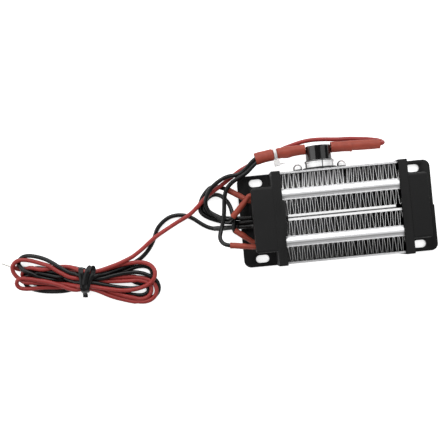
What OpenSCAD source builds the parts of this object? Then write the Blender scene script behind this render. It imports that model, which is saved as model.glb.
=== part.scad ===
// Finned electric air heater with two flat heating tubes, two moulded end caps and a snap thermostat.
// It lies on the flat back of its end caps. The origin is the centre of the four mounting slots on
// that back, +X runs along the heating tubes, +Y points to the thermostat and +Z is the way of the air.

/* [Core] */
// Length of the fins seen between the two end caps
core_open_length = 66.4; // [50:0.2:110]
// Length of the core that is hidden in each end cap's collar
core_seat = 3; // [1.5:0.5:4]
// Depth of the fins along the way of the air
fin_depth = 22; // [19:0.5:24]
// Height of one row of fins, from crest to crest
fin_row_height = 8.5; // [7:0.1:10]
// Distance from one fold to the next on the same side of a row
fin_pitch = 2.85; // [2.4:0.05:3.6]
// Thickness of the folded sheet
fin_sheet = 0.25; // [0.15:0.05:0.35]
// Outer radius of a fold's crest
fin_crest_radius = 0.55; // [0.4:0.05:0.6]
// Thickness of the plates that close the core's two long sides
side_plate_thickness = 1.1; // [0.6:0.1:1.6]
// Thickness of the two bright strips along the middle
centre_strip_thickness = 0.7; // [0.4:0.1:1]
// Thickness of the soft spacer between the two strips
centre_spacer_thickness = 2; // [1:0.1:2.4]
// How far the spacer lies back from the strips' front edges
centre_spacer_recess = 1.5; // [0.5:0.5:4]
// Bare length of the middle next to the left collar
centre_start_gap = 2.4; // [1:0.2:5]
// Length by which the upper strip ends before the right collar
centre_end_gap = 3.2; // [1:0.2:6]

/* [Heating tubes] */
// Thickness of a heating tube across the fins
tube_thickness = 6.1; // [5.6:0.1:7.6]
// Width of the rounded nose along a tube's narrow sides
tube_nose_width = 4.6; // [3.6:0.1:5.2]
// Height of that nose over the fins
tube_nose_height = 1; // [0.4:0.1:1.4]
// Length of a tube inside each end cap, past the end of the fins
tube_reach = 7.6; // [5:0.2:8]
// Thickness of a ceramic heating chip
chip_thickness = 2.2; // [1.8:0.1:2.6]
// Length of a ceramic heating chip
chip_length = 21; // [12:0.5:21]
// Width of the chips and electrodes along the way of the air
chip_width = 17; // [14:0.5:17.5]
// Number of chips in each tube
chip_count = 3; // [1:1:3]
// Gap between neighbouring chips
chip_gap = 0.5; // [0.2:0.1:1]
// Thickness of an electrode sheet
electrode_thickness = 0.4; // [0.3:0.1:0.5]
// Thickness of the wrapped insulating film
film_thickness = 0.25; // [0.1:0.05:0.3]
// Width of the tab that leaves an electrode
tab_width = 1.9; // [1.4:0.1:1.9]
// Length of the bent end of a tab
tab_length = 4; // [3:0.2:5]

/* [End caps] */
// Overall depth of an end cap
cap_depth = 26; // [26:0.5:30]
// Length of the collar that holds the end of the core
collar_length = 5; // [5:0.2:8]
// Wall of the collar beside the side plates
collar_wall = 0.7; // [0.6:0.1:1.5]
// Length of the left cap's housing box, behind the collar
housing_length = 12; // [11:0.5:16]
// Length of the right cap's housing box
right_housing_length = 10.5; // [10:0.5:16]
// Width of the housing box
housing_width = 36.8; // [35:0.2:37]
// How far the housing box lies behind the collar's front
housing_drop = 0.3; // [0:0.05:0.35]
// Radius along the housing's long upper edges and its outer corners
housing_corner = 1.5; // [0.5:0.1:2]
// Thickness of the mounting flange
flange_thickness = 3; // [2:0.2:5]
// Distance from the housing box to the flange's outer edge
flange_reach = 5.9; // [5.4:0.1:9]
// Radius of the flange's outer corners
flange_corner = 4; // [1:0.2:4.6]
// Extra width of the lower half of the right flange
flange_step = 0.6; // [0:0.1:1]
// Extra length of the left flange, on the side of the wires
wire_side_flange = 1; // [0:0.1:1.4]
// Distance between the slots' centres along the heater
slot_spacing_x = 92.5; // [91:0.1:96]
// Distance between the slots' centres across the heater
slot_spacing_y = 44.5; // [43:0.1:46]
// Length of a mounting slot from end to end
slot_length = 7.9; // [5.6:0.1:8.4]
// Width of a mounting slot
slot_width = 4.5; // [4.2:0.1:5]
// Length of the lip on the left collar between the two tubes
lip_length = 1.2; // [0.4:0.1:2]
// Width of the opening for the three wires in the left cap
entry_width = 8.4; // [8.2:0.1:9]
// Height of that opening
entry_height = 3.4; // [3.2:0.1:4]
// Play between pieces that slide into each other
fit_clearance = 0.1; // [0.05:0.01:0.15]

/* [Thermostat] */
// Place of the thermostat's axis along the heater
thermostat_x = -9.3; // [-14:0.1:8]
// Diameter of the black body
body_d = 14.6; // [13.8:0.1:15.4]
// Height of the black body's top over the side plate
body_height = 13.6; // [13:0.1:17]
// Distance from the black body out to the metal cap's face
cap_wall = 0.7; // [0.7:0.1:0.9]
// Distance from the metal cap's face out to its foot's edge
cap_foot = 0.5; // [0.4:0.1:0.8]
// Height of the metal cap
cap_height = 6.3; // [5.6:0.1:7]
// Sheet of the metal cap
cap_sheet = 0.5; // [0.3:0.1:0.6]
// Distance from the thermostat's axis to each bracket screw
screw_reach = 12.6; // [12.4:0.1:15]
// Diameter of a bracket screw's head
screw_head_d = 5; // [4:0.1:5.2]
// Height of a bracket screw's head
screw_head_height = 2.5; // [1.4:0.1:2.6]
// Diameter of a bracket screw's shank
screw_d = 2.6; // [2.2:0.1:2.9]
// Length of the shank below the head
screw_length = 6.5; // [4:0.5:8]
// Thickness of the ring bracket
ring_thickness = 0.7; // [0.5:0.1:1]
// Width of the ring bracket's ears
ring_ear_width = 5.4; // [4.6:0.1:6]
// Thickness of the thermostat's terminals
terminal_thickness = 0.8; // [0.5:0.1:0.8]
// Width of the thermostat's terminals
terminal_width = 4; // [3:0.1:4]
// Distance from the body's top down to the terminals' middle
terminal_drop = 1.3; // [1.3:0.1:3]

/* [Sleeves and wires] */
// Diameter of the red and black wires
wire_d = 2.1; // [1.8:0.1:2.1]
// Outer diameter of the sleeves on the electrode tabs
tab_sleeve_d = 3.4; // [3:0.1:3.8]
// Bore of the sleeves on the electrode tabs
tab_sleeve_bore = 2.3; // [2.2:0.1:2.5]
// Outer diameter of the left thermostat sleeve
left_sleeve_d = 6.4; // [5.5:0.1:6.6]
// Wall of the left thermostat sleeve
sleeve_wall = 0.4; // [0.3:0.05:0.5]
// Outer diameter of the short right thermostat sleeve
right_sleeve_d = 6.2; // [6.2:0.1:6.4]
// Outer diameter of the long sleeve over the thermal fuse
fuse_sleeve_d = 5.1; // [4.6:0.1:5.1]
// Diameter of the thermal fuse
fuse_d = 3.6; // [3:0.1:3.6]
// Diameter of the black lead's own sleeve
lead_sleeve_d = 2.8; // [2.6:0.1:2.9]
// Width of the cable tie
cable_tie_width = 2.1; // [2:0.1:3]
// Thickness of the cable tie's band
cable_tie_band = 0.8; // [0.7:0.1:1.2]
// Width of the twist tie round the wound leads
twist_tie_width = 6; // [4:0.5:8]
// Thickness of the twist tie
twist_tie_band = 0.9; // [0.6:0.1:1.2]

/* [Hidden] */
$fn = 64;

aluminium = [0.80, 0.81, 0.82];
bright_sheet = [0.72, 0.73, 0.74];
black_plastic = [0.13, 0.13, 0.13];
silicone_red = [0.68, 0.31, 0.25];
wire_red = [0.70, 0.22, 0.22];
wire_black = [0.08, 0.08, 0.08];
brass = [0.78, 0.64, 0.34];
tin = [0.78, 0.77, 0.74];

// Places along X, measured from the middle to the right
collar_x = core_open_length / 2;
core_x = collar_x + core_seat;
tube_x = core_x + tube_reach;
housing_x = collar_x + collar_length;
wall_x = housing_x + housing_length;
flange_x = wall_x + flange_reach;

// Places along Y, measured from the middle to the side
strip_y = centre_spacer_thickness / 2;
inner_row_y = strip_y + centre_strip_thickness;
tube_y = inner_row_y + fin_row_height;
outer_row_y = tube_y + tube_thickness;
plate_y = outer_row_y + fin_row_height;
core_y = plate_y + side_plate_thickness;
tube_middle_y = tube_y + tube_thickness / 2;
collar_y = core_y + fit_clearance + collar_wall;

// Places along Z
middle_z = cap_depth / 2;
housing_height = cap_depth - housing_drop;
front_tab_z = middle_z + 4;
back_tab_z = middle_z - 4;
wire_entry_z = 8;

// Extra length of a cutting body past the face that it opens
past = 1;

// Draws a flat outline in Y and Z and gives it a length along X, from from_x on
module along_x(from_x, length) {
    translate([from_x, 0, 0]) rotate([90, 0, 90]) linear_extrude(length) children();
}

module mirror_y(lower) {
    if (lower) mirror([0, 1, 0]) children();
    else children();
}

// Fin rows
// The sheet is a chain of folds. A straight leg touches the arc below and the arc above it, so its
// angle follows from the step between crests, the height between the arcs' centres and their radius.
crest_count = 2 * round(2 * core_x / fin_pitch) + 1;
crest_step = 2 * core_x / crest_count;
crest_middle_radius = fin_crest_radius - fin_sheet / 2;
crest_rise = fin_row_height - 2 * fin_crest_radius;
leg_angle = atan2(crest_rise, crest_step)
    + asin(2 * crest_middle_radius / norm([crest_step, crest_rise]));

function crest_centre(k) = [-core_x + (k + 0.5) * crest_step,
    k % 2 == 0 ? fin_crest_radius : fin_row_height - fin_crest_radius];

// Points of one fold on one face of the sheet: side is 1 above the sheet and -1 below it
function crest_arc(k, side) = let(
    low = k % 2 == 0,
    radius = crest_middle_radius + (low ? -side : side) * fin_sheet / 2,
    centre = crest_centre(k)
) [for (step = [-2:2]) let(turn = (low ? 270 : 90) + (low ? step : -step) * leg_angle / 2)
    centre + radius * [cos(turn), sin(turn)]];

function sheet_face(side) = [for (k = [0:crest_count - 1]) each crest_arc(k, side)];

function reversed(list) = [for (i = [len(list) - 1:-1:0]) list[i]];

module fin_row(low_y) {
    color(bright_sheet)
    translate([0, low_y, middle_z - fin_depth / 2])
    linear_extrude(fin_depth)
    polygon(concat(sheet_face(1), reversed(sheet_face(-1))));
}

module top_fin_row() {
    difference() {
        fin_row(outer_row_y);
        screw_bores(screw_d / 2 + 0.2, fin_row_height);
    }
}

// Side plates and the middle bar
module side_plate() {
    color(aluminium)
    translate([-core_x, plate_y, middle_z - fin_depth / 2])
    cube([2 * core_x, side_plate_thickness, fin_depth]);
}

module upper_side_plate() {
    difference() {
        side_plate();
        screw_bores(screw_d / 2 + fit_clearance, side_plate_thickness);
    }
}

module centre_bar(low_y, thickness, recess, end_gap) {
    start_x = -collar_x + centre_start_gap;
    translate([start_x, low_y, middle_z - fin_depth / 2 + recess])
    cube([collar_x - end_gap - start_x, thickness, fin_depth - 2 * recess]);
}

// Heating tubes and what they hold
nose_radius = (pow(tube_nose_width / 2, 2) + pow(tube_nose_height, 2)) / (2 * tube_nose_height);
stack_y = chip_thickness + 2 * electrode_thickness;
bore_y = stack_y + 2 * film_thickness;
bore_z = chip_width + 2 * film_thickness;
chips_length = chip_count * chip_length + (chip_count - 1) * chip_gap;
electrode_offset = (chip_thickness + electrode_thickness) / 2;

module tube_outline(play) {
    square([tube_thickness + 2 * play, fin_depth + 2 * play], center = true);
    for (side = [-1, 1])
        intersection() {
            translate([0, side * (fin_depth / 2 + tube_nose_height - nose_radius)])
            circle(nose_radius + play);
            translate([0, side * fin_depth / 2])
            square([tube_nose_width + 2 * play, 2 * tube_nose_height + 2 * play + 1], center = true);
        }
}

module heating_tube(lower) {
    color(aluminium)
    mirror_y(lower)
    translate([0, tube_middle_y, middle_z])
    along_x(-tube_x, 2 * tube_x)
    difference() {
        tube_outline(0);
        square([bore_y, bore_z], center = true);
    }
}

module insulating_film(lower) {
    color([0.80, 0.50, 0.12])
    mirror_y(lower)
    translate([0, tube_middle_y, middle_z])
    along_x(-tube_x, 2 * tube_x)
    difference() {
        square([bore_y, bore_z], center = true);
        square([stack_y, chip_width], center = true);
    }
}

module heating_chips(lower) {
    color([0.45, 0.43, 0.40])
    mirror_y(lower)
    for (i = [0:chip_count - 1])
        translate([-chips_length / 2 + i * (chip_length + chip_gap), tube_middle_y - chip_thickness / 2,
            middle_z - chip_width / 2])
        cube([chip_length, chip_thickness, chip_width]);
}

// The four tabs leave the left cap and bend at their own angle. Each row gives the side of the
// heater, the side of the chips, the height, the angle seen from the front, the fall of the sleeve
// below the level, and the sleeve's length.
UPPER_LIVE = 0;
UPPER_NEUTRAL = 1;
LOWER_LIVE = 2;
LOWER_NEUTRAL = 3;
TABS = [
    [1, 1, front_tab_z, 226, 12, 14.6],
    [1, -1, back_tab_z, 147, 6, 13.2],
    [-1, 1, front_tab_z, 171, 4, 12.8],
    [-1, -1, back_tab_z, 142, 0, 11.8],
];
tab_straight = 0.8;
sleeve_start = 1;

function tab_y(i) = TABS[i][0] * (tube_middle_y + TABS[i][1] * electrode_offset);
function tab_bend(i) = [-wall_x - tab_straight, tab_y(i), TABS[i][2]];
function tab_direction(i) = let(angle = TABS[i][3], fall = TABS[i][4])
    [cos(angle) * cos(fall), sin(angle) * cos(fall), -sin(fall)];
function tab_point(i, distance) = tab_bend(i) + distance * tab_direction(i);
function sleeve_mouth(i) = sleeve_start + TABS[i][5];

// Turns +X to the direction in which tab i leaves its bend
module on_tab(i) {
    translate(tab_bend(i)) rotate([0, TABS[i][4], TABS[i][3]]) children();
}

module electrode(i) {
    color(brass) {
        translate([-tube_x, tab_y(i) - electrode_thickness / 2, middle_z - chip_width / 2])
        cube([tube_x + chips_length / 2, electrode_thickness, chip_width]);
        translate([tab_bend(i)[0], tab_y(i) - electrode_thickness / 2, TABS[i][2] - tab_width / 2])
        cube([wall_x + tab_straight - tube_x + 1, electrode_thickness, tab_width]);
        translate(tab_bend(i)) cylinder(h = tab_width, r = electrode_thickness / 2, center = true);
        on_tab(i)
        translate([0, -electrode_thickness / 2, -tab_width / 2])
        cube([tab_length, electrode_thickness, tab_width]);
    }
}

module tab_sleeve(i) {
    color(silicone_red)
    on_tab(i)
    along_x(sleeve_start, TABS[i][5])
    difference() {
        circle(d = tab_sleeve_d);
        circle(d = tab_sleeve_bore);
    }
}

// End caps
splice_width = entry_width - 0.6;
splice_height = 2.8;
splice_length = 5;
splice_end_x = -tube_x + 1.2;
chamber_play = 0.4;
collar_corner = 0.8;
lip_thickness = 1.6;

module rounded_rectangle(size, radius) {
    for (x = [radius, size[0] - radius], y = [radius, size[1] - radius])
        translate([x, y]) circle(radius);
    translate([radius, 0]) square([size[0] - 2 * radius, size[1]]);
    translate([0, radius]) square([size[0], size[1] - 2 * radius]);
}

// Flange with two round outer corners, seen from the front, right side of the heater
module flange_outline() {
    translate([collar_x, -collar_y]) square([flange_x - flange_corner - collar_x, 2 * collar_y]);
    translate([collar_x, -collar_y + flange_corner])
    square([flange_x - collar_x, 2 * (collar_y - flange_corner)]);
    for (side = [-1, 1])
        translate([flange_x - flange_corner, side * (collar_y - flange_corner)]) circle(flange_corner);
}

module slot_outline(width, length) {
    for (side = [-1, 1]) translate([side * (length - width) / 2, 0]) circle(d = width);
    square([length - width, width], center = true);
}

// Housing box: its outer corners are round from the front and its long upper edges from the side
module housing_box(length) {
    intersection() {
        translate([housing_x - housing_corner - 1, -housing_width / 2, 0])
        linear_extrude(housing_height)
        rounded_rectangle([length + housing_corner + 1, housing_width], housing_corner);
        translate([0, -housing_width / 2, -housing_height])
        along_x(collar_x, flange_x - collar_x)
        rounded_rectangle([housing_width, 2 * housing_height], housing_corner);
    }
}

module cap_blank(length) {
    linear_extrude(flange_thickness) flange_outline();
    translate([0, -collar_y, -cap_depth])
    along_x(collar_x, collar_length)
    rounded_rectangle([2 * collar_y, 2 * cap_depth], collar_corner);
    housing_box(length);
}

// What both caps lack: the seat of the core, the seats of the two tubes and the two slots
module cap_cuts() {
    translate([0, 0, middle_z])
    along_x(collar_x - past - lip_length, core_seat + past + lip_length + fit_clearance)
    square([2 * (core_y + fit_clearance), fin_depth + 2 * fit_clearance], center = true);
    for (side = [-1, 1])
        translate([0, side * tube_middle_y, middle_z])
        along_x(collar_x - past - lip_length,
            tube_x + fit_clearance - collar_x + past + lip_length)
        tube_outline(fit_clearance);
    for (side = [-1, 1])
        translate([slot_spacing_x / 2, side * slot_spacing_y / 2, -past])
        linear_extrude(flange_thickness + 2 * past)
        slot_outline(slot_width, slot_length);
}

module below_floor() {
    translate([-2 * flange_x, -2 * collar_y, -2 * cap_depth])
    cube([4 * flange_x, 4 * collar_y, 2 * cap_depth]);
}

module right_end_cap() {
    color(black_plastic)
    difference() {
        union() {
            cap_blank(right_housing_length);
            translate([flange_x - flange_corner, -collar_y + flange_corner, 0])
            cube([flange_corner + flange_step, collar_y - flange_corner, flange_thickness]);
            translate([flange_x + flange_step - flange_corner, -collar_y + flange_corner, 0])
            cylinder(h = flange_thickness, r = flange_corner);
        }
        cap_cuts();
        below_floor();
    }
}

module left_end_cap() {
    color(black_plastic)
    difference() {
        mirror([1, 0, 0])
        difference() {
            union() {
                cap_blank(housing_length);
                translate([wire_side_flange, 0, 0]) linear_extrude(flange_thickness) flange_outline();
                translate([collar_x - lip_length, -tube_y, cap_depth - lip_thickness])
                cube([lip_length + 1, 2 * tube_y, lip_thickness]);
            }
            cap_cuts();
        }
        for (i = [0:3])
            translate([-wall_x - past, tab_y(i) - electrode_thickness / 2 - fit_clearance,
                TABS[i][2] - tab_width / 2 - fit_clearance])
            cube([wall_x - tube_x + 2 * past, electrode_thickness + 2 * fit_clearance,
                tab_width + 2 * fit_clearance]);
        translate([0, 0, wire_entry_z])
        along_x(-wall_x - past, wall_x + splice_end_x + past + chamber_play)
        slot_outline(entry_height, entry_width);
        below_floor();
    }
}

module neutral_splice() {
    color(tin)
    translate([0, 0, wire_entry_z])
    along_x(splice_end_x - splice_length, splice_length)
    slot_outline(splice_height, splice_width);
}

// Thermostat
cap_d = body_d + 2 * cap_wall;
cap_foot_d = cap_d + 2 * cap_foot;
terminal_level = body_height - terminal_drop;
body_base = 1.7;
shoulder_r = cap_d / 2 - cap_sheet - 0.05;
lip_top = cap_height;
shoulder_top = lip_top - cap_sheet;
disc_r = 6.4;
disc_sheet = 0.25;
disc_dome = 0.5;
pin_r = 1;
chamber_r = 5.6;
chamber_rise = 0.6;
arm_level = terminal_level - terminal_thickness / 2 - 1;
arm_sheet = 0.3;
contact_r = 0.9;
contact_x = -1.8;
crimp_length = 5;
crimp_size = [2.9, 2.4];
left_tab_reach = 8;
right_tab_reach = 7;
left_crimp_seat = 3;
right_crimp_seat = 2;

// Stands the thermostat's own +Z on the side plate, along +Y
module on_side_plate(x) {
    translate([x, core_y, middle_z]) rotate([-90, 0, 0]) children();
}

module screw_bores(radius, depth) {
    for (side = [-1, 1])
        on_side_plate(thermostat_x + side * screw_reach)
        translate([0, 0, -side_plate_thickness - depth])
        cylinder(h = side_plate_thickness + depth + past, r = radius);
}

module thermostat_cap() {
    r = cap_d / 2;
    color(aluminium)
    on_side_plate(thermostat_x)
    rotate_extrude()
    polygon([[0, 0], [cap_foot_d / 2, 0], [cap_foot_d / 2, 0.6], [r, 0.6], [r, lip_top - 1.6],
        [r + 0.3, lip_top - 1.3], [r + 0.3, lip_top - 0.3], [r, lip_top], [body_d / 2 + 0.05, lip_top],
        [body_d / 2 + 0.05, shoulder_top], [r - cap_sheet, shoulder_top], [r - cap_sheet, cap_sheet],
        [0, cap_sheet]]);
}

module bimetal_disc() {
    // The middle under the pin is flat, and the rest falls to the rim as a dome does
    radii = [0, for (i = [0:4]) pin_r + (disc_r - pin_r) * i / 4];
    function dome(r) = cap_sheet + disc_dome * (1 - pow(max(r - pin_r, 0) / (disc_r - pin_r), 2));
    color([0.62, 0.55, 0.42])
    on_side_plate(thermostat_x)
    rotate_extrude()
    polygon(concat(
        [for (r = radii) [r, dome(r)]],
        [for (r = reversed(radii)) [r, dome(r) + disc_sheet]]));
}

module push_pin() {
    start = cap_sheet + disc_dome + disc_sheet;
    color([0.90, 0.88, 0.82])
    on_side_plate(thermostat_x)
    translate([0, 0, start + 0.05])
    cylinder(h = arm_level - start - 0.05, r = pin_r);
}

module thermostat_body() {
    slot = [cap_d, terminal_width + 2 * fit_clearance, terminal_thickness + 2 * fit_clearance];
    color(black_plastic)
    on_side_plate(thermostat_x)
    difference() {
        rotate_extrude()
        polygon([[0, body_base], [shoulder_r, body_base], [shoulder_r, shoulder_top],
            [body_d / 2, shoulder_top], [body_d / 2, body_height - 0.5],
            [body_d / 2 - 0.5, body_height], [0, body_height]]);
        translate([0, 0, body_base - past])
        cylinder(h = arm_level - body_base + past, r = pin_r + fit_clearance);
        translate([0, 0, arm_level - 1])
        cylinder(h = terminal_level + chamber_rise - arm_level + 1, r = chamber_r);
        for (side = [-1, 1])
            translate([side * slot[0] / 2, 0, terminal_level]) cube(slot, center = true);
    }
}

module thermostat_ring() {
    inner = cap_d / 2 + fit_clearance;
    outer = cap_d / 2 + 1.6;
    foot = 0.6;
    top = foot + ring_thickness;
    color(aluminium)
    on_side_plate(thermostat_x)
    difference() {
        union() {
            translate([0, 0, foot]) cylinder(h = ring_thickness, r = outer);
            for (side = [0, 1])
                mirror([side, 0, 0]) {
                    rotate([90, 0, 0])
                    linear_extrude(ring_ear_width, center = true)
                    polygon([[inner, foot], [cap_foot_d / 2 + 0.4, foot], [cap_foot_d / 2 + 1, 0],
                        [screw_reach, 0], [screw_reach, ring_thickness],
                        [cap_foot_d / 2 + 1.2, ring_thickness], [cap_foot_d / 2 + 0.6, top],
                        [inner, top]]);
                    translate([screw_reach, 0, 0]) cylinder(h = ring_thickness, d = ring_ear_width);
                }
        }
        translate([0, 0, -past]) cylinder(h = top + 2 * past, r = inner);
        for (side = [-1, 1])
            translate([side * screw_reach, 0, -past])
            cylinder(h = top + 2 * past, r = screw_d / 2 + fit_clearance);
    }
}

module bracket_screw() {
    dome_r = screw_head_d * 0.63;
    recess = [2.4, 0.5, 1.8];
    difference() {
        intersection() {
            cylinder(h = screw_head_height, d = screw_head_d);
            translate([0, 0, screw_head_height - dome_r]) sphere(dome_r);
        }
        for (turn = [0, 90])
            translate([0, 0, screw_head_height]) rotate([0, 0, turn]) cube(recess, center = true);
    }
    translate([0, 0, -screw_length])
    rotate_extrude()
    polygon([[0, 0], [screw_d / 12, 0], [screw_d / 2, screw_d / 2], [screw_d / 2, screw_length + 0.1],
        [0, screw_length + 0.1]]);
}

module bracket_screws() {
    color(tin)
    for (side = [-1, 1])
        on_side_plate(thermostat_x + side * screw_reach)
        translate([0, 0, ring_thickness]) bracket_screw();
}

module thermostat_left_terminal() {
    tab_end = body_d / 2 + left_tab_reach;
    color(brass)
    on_side_plate(thermostat_x)
    translate([0, 0, terminal_level]) {
        translate([-tab_end, -terminal_width / 2, -terminal_thickness / 2])
        cube([tab_end + contact_x + contact_r, terminal_width, terminal_thickness]);
        translate([contact_x, 0, -terminal_thickness / 2 - 0.3]) cylinder(h = 0.4, r = contact_r);
        translate([-tab_end - crimp_length + left_crimp_seat, -crimp_size[0] / 2, -crimp_size[1] / 2 - 0.3])
        cube([crimp_length, crimp_size[0], crimp_size[1]]);
    }
}

module thermostat_right_terminal() {
    tab_end = body_d / 2 + right_tab_reach;
    post_x = 4.2;
    color(brass)
    on_side_plate(thermostat_x) {
        translate([post_x, -terminal_width / 2, terminal_level - terminal_thickness / 2])
        cube([tab_end - post_x, terminal_width, terminal_thickness]);
        translate([post_x, -contact_r, arm_level])
        cube([0.8, 2 * contact_r, terminal_level - arm_level]);
        translate([contact_x - contact_r, -contact_r, arm_level])
        cube([post_x - contact_x + contact_r + 0.8, 2 * contact_r, arm_sheet]);
        translate([contact_x, 0, arm_level + arm_sheet / 2])
        cylinder(h = terminal_level - terminal_thickness / 2 - 0.3 - arm_level - arm_sheet / 2,
            r = contact_r);
        translate([tab_end - right_crimp_seat, -crimp_size[0] / 2, terminal_level - crimp_size[1] / 2])
        cube([crimp_length, crimp_size[0], crimp_size[1]]);
    }
}

// Sleeves on the thermostat's terminals. The left one bends in a wide arc round a point far below.
terminal_y = core_y + terminal_level;
left_sleeve_x = thermostat_x - body_d / 2 - 0.1;
left_arc_r = 150;
left_arc_angle = 11.1;
right_sleeve_x = thermostat_x + body_d / 2 + 0.2;
right_sleeve_length = 11.9;
fuse_sleeve_x = right_sleeve_x + right_sleeve_length - 2.1;
fuse_sleeve_length = 17.6;
fuse_x = fuse_sleeve_x + 2.4;
fuse_droop = 2.6;

module sleeve_outline(diameter) {
    difference() {
        circle(d = diameter);
        circle(d = diameter - 2 * sleeve_wall);
    }
}

module thermostat_left_sleeve() {
    color(silicone_red)
    translate([left_sleeve_x, terminal_y - left_arc_r, middle_z])
    rotate([0, 0, 90])
    rotate_extrude(angle = left_arc_angle, $fn = 720)
    translate([left_arc_r, 0])
    sleeve_outline(left_sleeve_d, $fn = 64);
}

module thermostat_right_sleeve() {
    color(silicone_red)
    translate([0, terminal_y, middle_z])
    along_x(right_sleeve_x, right_sleeve_length)
    sleeve_outline(right_sleeve_d);
}

// The fuse and the long sleeve over it hang a little towards the side plate
module from_fuse() {
    translate([fuse_x, terminal_y, middle_z]) rotate([0, 0, -fuse_droop]) children();
}

module fuse_sleeve() {
    color(silicone_red)
    from_fuse()
    along_x(fuse_sleeve_x - fuse_x, fuse_sleeve_length)
    sleeve_outline(fuse_sleeve_d);
}

module thermal_fuse() {
    crimp_end_x = thermostat_x + body_d / 2 + right_tab_reach - right_crimp_seat + crimp_length;
    fuse_length = 9.6;
    pin_d = 1;
    color(tin) {
        from_fuse() {
            along_x(0, fuse_length) circle(d = fuse_d);
            along_x(fuse_length - 1, 2.6) circle(d = pin_d);
        }
        translate([0, terminal_y, middle_z])
        along_x(crimp_end_x, fuse_x - crimp_end_x + 1) circle(d = pin_d);
    }
}

// Cable tie round the left sleeve and the red lead behind it
tie_angle = 6.6;
tie_play = 0.05;
tie_lead_play = 0.25;
tie_lead_place = [1.3, -4.25];
tie_head = [3.2, 3.4, 4.2];
tie_tail = [3.4, 0.9, 2];

// Belt round two circles: a large one at the middle and a small one at place. Its straight sides start
// just inside the circles, so that they cross them cleanly instead of only touching.
module belt(large_r, small_r, place) {
    inset = 0.02;
    reach = norm(place);
    lean = acos((large_r - small_r) / reach);
    heading = atan2(place[1], place[0]);
    circle(large_r);
    translate(place) circle(small_r);
    polygon([
        (large_r - inset) * [cos(heading + lean), sin(heading + lean)],
        (large_r - inset) * [cos(heading - lean), sin(heading - lean)],
        place + (small_r - inset) * [cos(heading - lean), sin(heading - lean)],
        place + (small_r - inset) * [cos(heading + lean), sin(heading + lean)],
    ]);
}

module cable_tie() {
    large_r = left_sleeve_d / 2 + tie_play;
    small_r = wire_d / 2 + tie_lead_play;
    color([0.93, 0.93, 0.93])
    translate([left_sleeve_x, terminal_y - left_arc_r, middle_z])
    rotate([0, 0, tie_angle])
    translate([0, left_arc_r, 0])
    difference() {
        union() {
            along_x(-cable_tie_width / 2, cable_tie_width)
            belt(large_r + cable_tie_band, small_r + cable_tie_band, tie_lead_place);
            translate([-tie_head[0] / 2, -large_r - cable_tie_band / 2 - tie_head[1], -tie_head[2] / 2])
            cube(tie_head);
            translate([0, -large_r - cable_tie_band / 2 - tie_head[1], -tie_tail[2] / 2])
            cube([tie_head[0] / 2 + tie_tail[0], tie_tail[1], tie_tail[2]]);
        }
        along_x(-tie_head[0], 2 * tie_head[0]) belt(large_r, small_r, tie_lead_place);
    }
}

// Wires: each route is a list of points that the middle of the wire passes through
wire_sides = 8;

function direction(v) = v / norm(v);
function route_tangent(route, i) = direction(
    route[min(i + 1, len(route) - 1)] - route[max(i - 1, 0)]);
function square_to(v, axis) = direction(v - (v * axis) * axis);

// Normals that turn as little as possible from ring to ring
function route_normals(route, i = 0, normal = [0.3, 0.5, 1], list = []) =
    i == len(route) ? list
    : let(next = square_to(normal, route_tangent(route, i)))
      route_normals(route, i + 1, next, concat(list, [next]));

function ring_points(centre, axis, normal, radius) = [
    for (k = [0:wire_sides - 1]) let(turn = 360 * k / wire_sides)
        centre + radius * (cos(turn) * normal + sin(turn) * cross(axis, normal))];

module wire(route, diameter) {
    normals = route_normals(route);
    rings = len(route);
    points = [for (i = [0:rings - 1])
        each ring_points(route[i], route_tangent(route, i), normals[i], diameter / 2)];
    sides = [for (i = [0:rings - 2], k = [0:wire_sides - 1])
        let(a = i * wire_sides + k, b = i * wire_sides + (k + 1) % wire_sides)
        each [[a, a + wire_sides, b], [b, a + wire_sides, b + wire_sides]]];
    ends = [[for (k = [0:wire_sides - 1]) k],
        [for (k = [wire_sides - 1:-1:0]) (rings - 1) * wire_sides + k]];
    polyhedron(points, concat(sides, ends), convexity = 6);
}

function from_tab(i) = [for (distance = [tab_length + 0.3, sleeve_mouth(i) / 2 + 1, sleeve_mouth(i) + 0.6])
    tab_point(i, distance)];
function splice_point(y) = [splice_end_x - splice_length, y, wire_entry_z];
left_crimp_x = thermostat_x - body_d / 2 - left_tab_reach - crimp_length + left_crimp_seat;

lower_live_route = concat(
    [[left_crimp_x - 0.2, 36.9, 13], [-31, 36.5, 13], [-38, 35.5, 13], [-45, 34.2, 13],
        [-48.5, 31.7, 12.8], [-51.5, 28.6, 12], [-55, 26, 11.2], [-60, 22.9, 10.6], [-63.6, 19, 10.2],
        [-65.3, 14, 10], [-66, 9, 10.2], [-66.6, 4.5, 10.6], [-67.8, 0, 10.8], [-69.3, -4.4, 11.6],
        [-69.9, -8.2, 13.4], [-68, -11.2, 15.2]],
    reversed(from_tab(LOWER_LIVE)));
upper_live_route = concat(
    [[left_crimp_x - 0.2, 39, 13], [-31, 38.6, 13], [-38, 37.6, 13], [-45, 36.5, 12.8],
        [-49.6, 34.4, 12], [-53.4, 31.2, 10.8], [-57.5, 28.8, 10], [-63, 27.4, 9.8],
        [-68.4, 24.8, 9.4], [-72.8, 21, 8.8], [-75.6, 16.6, 7.2], [-76.4, 12.2, 5.2],
        [-74.9, 8.4, 4.6], [-71.2, 5.6, 5.2], [-67.2, 3.2, 7.2], [-64, 1.8, 10.6]],
    reversed(from_tab(UPPER_LIVE)));
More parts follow.
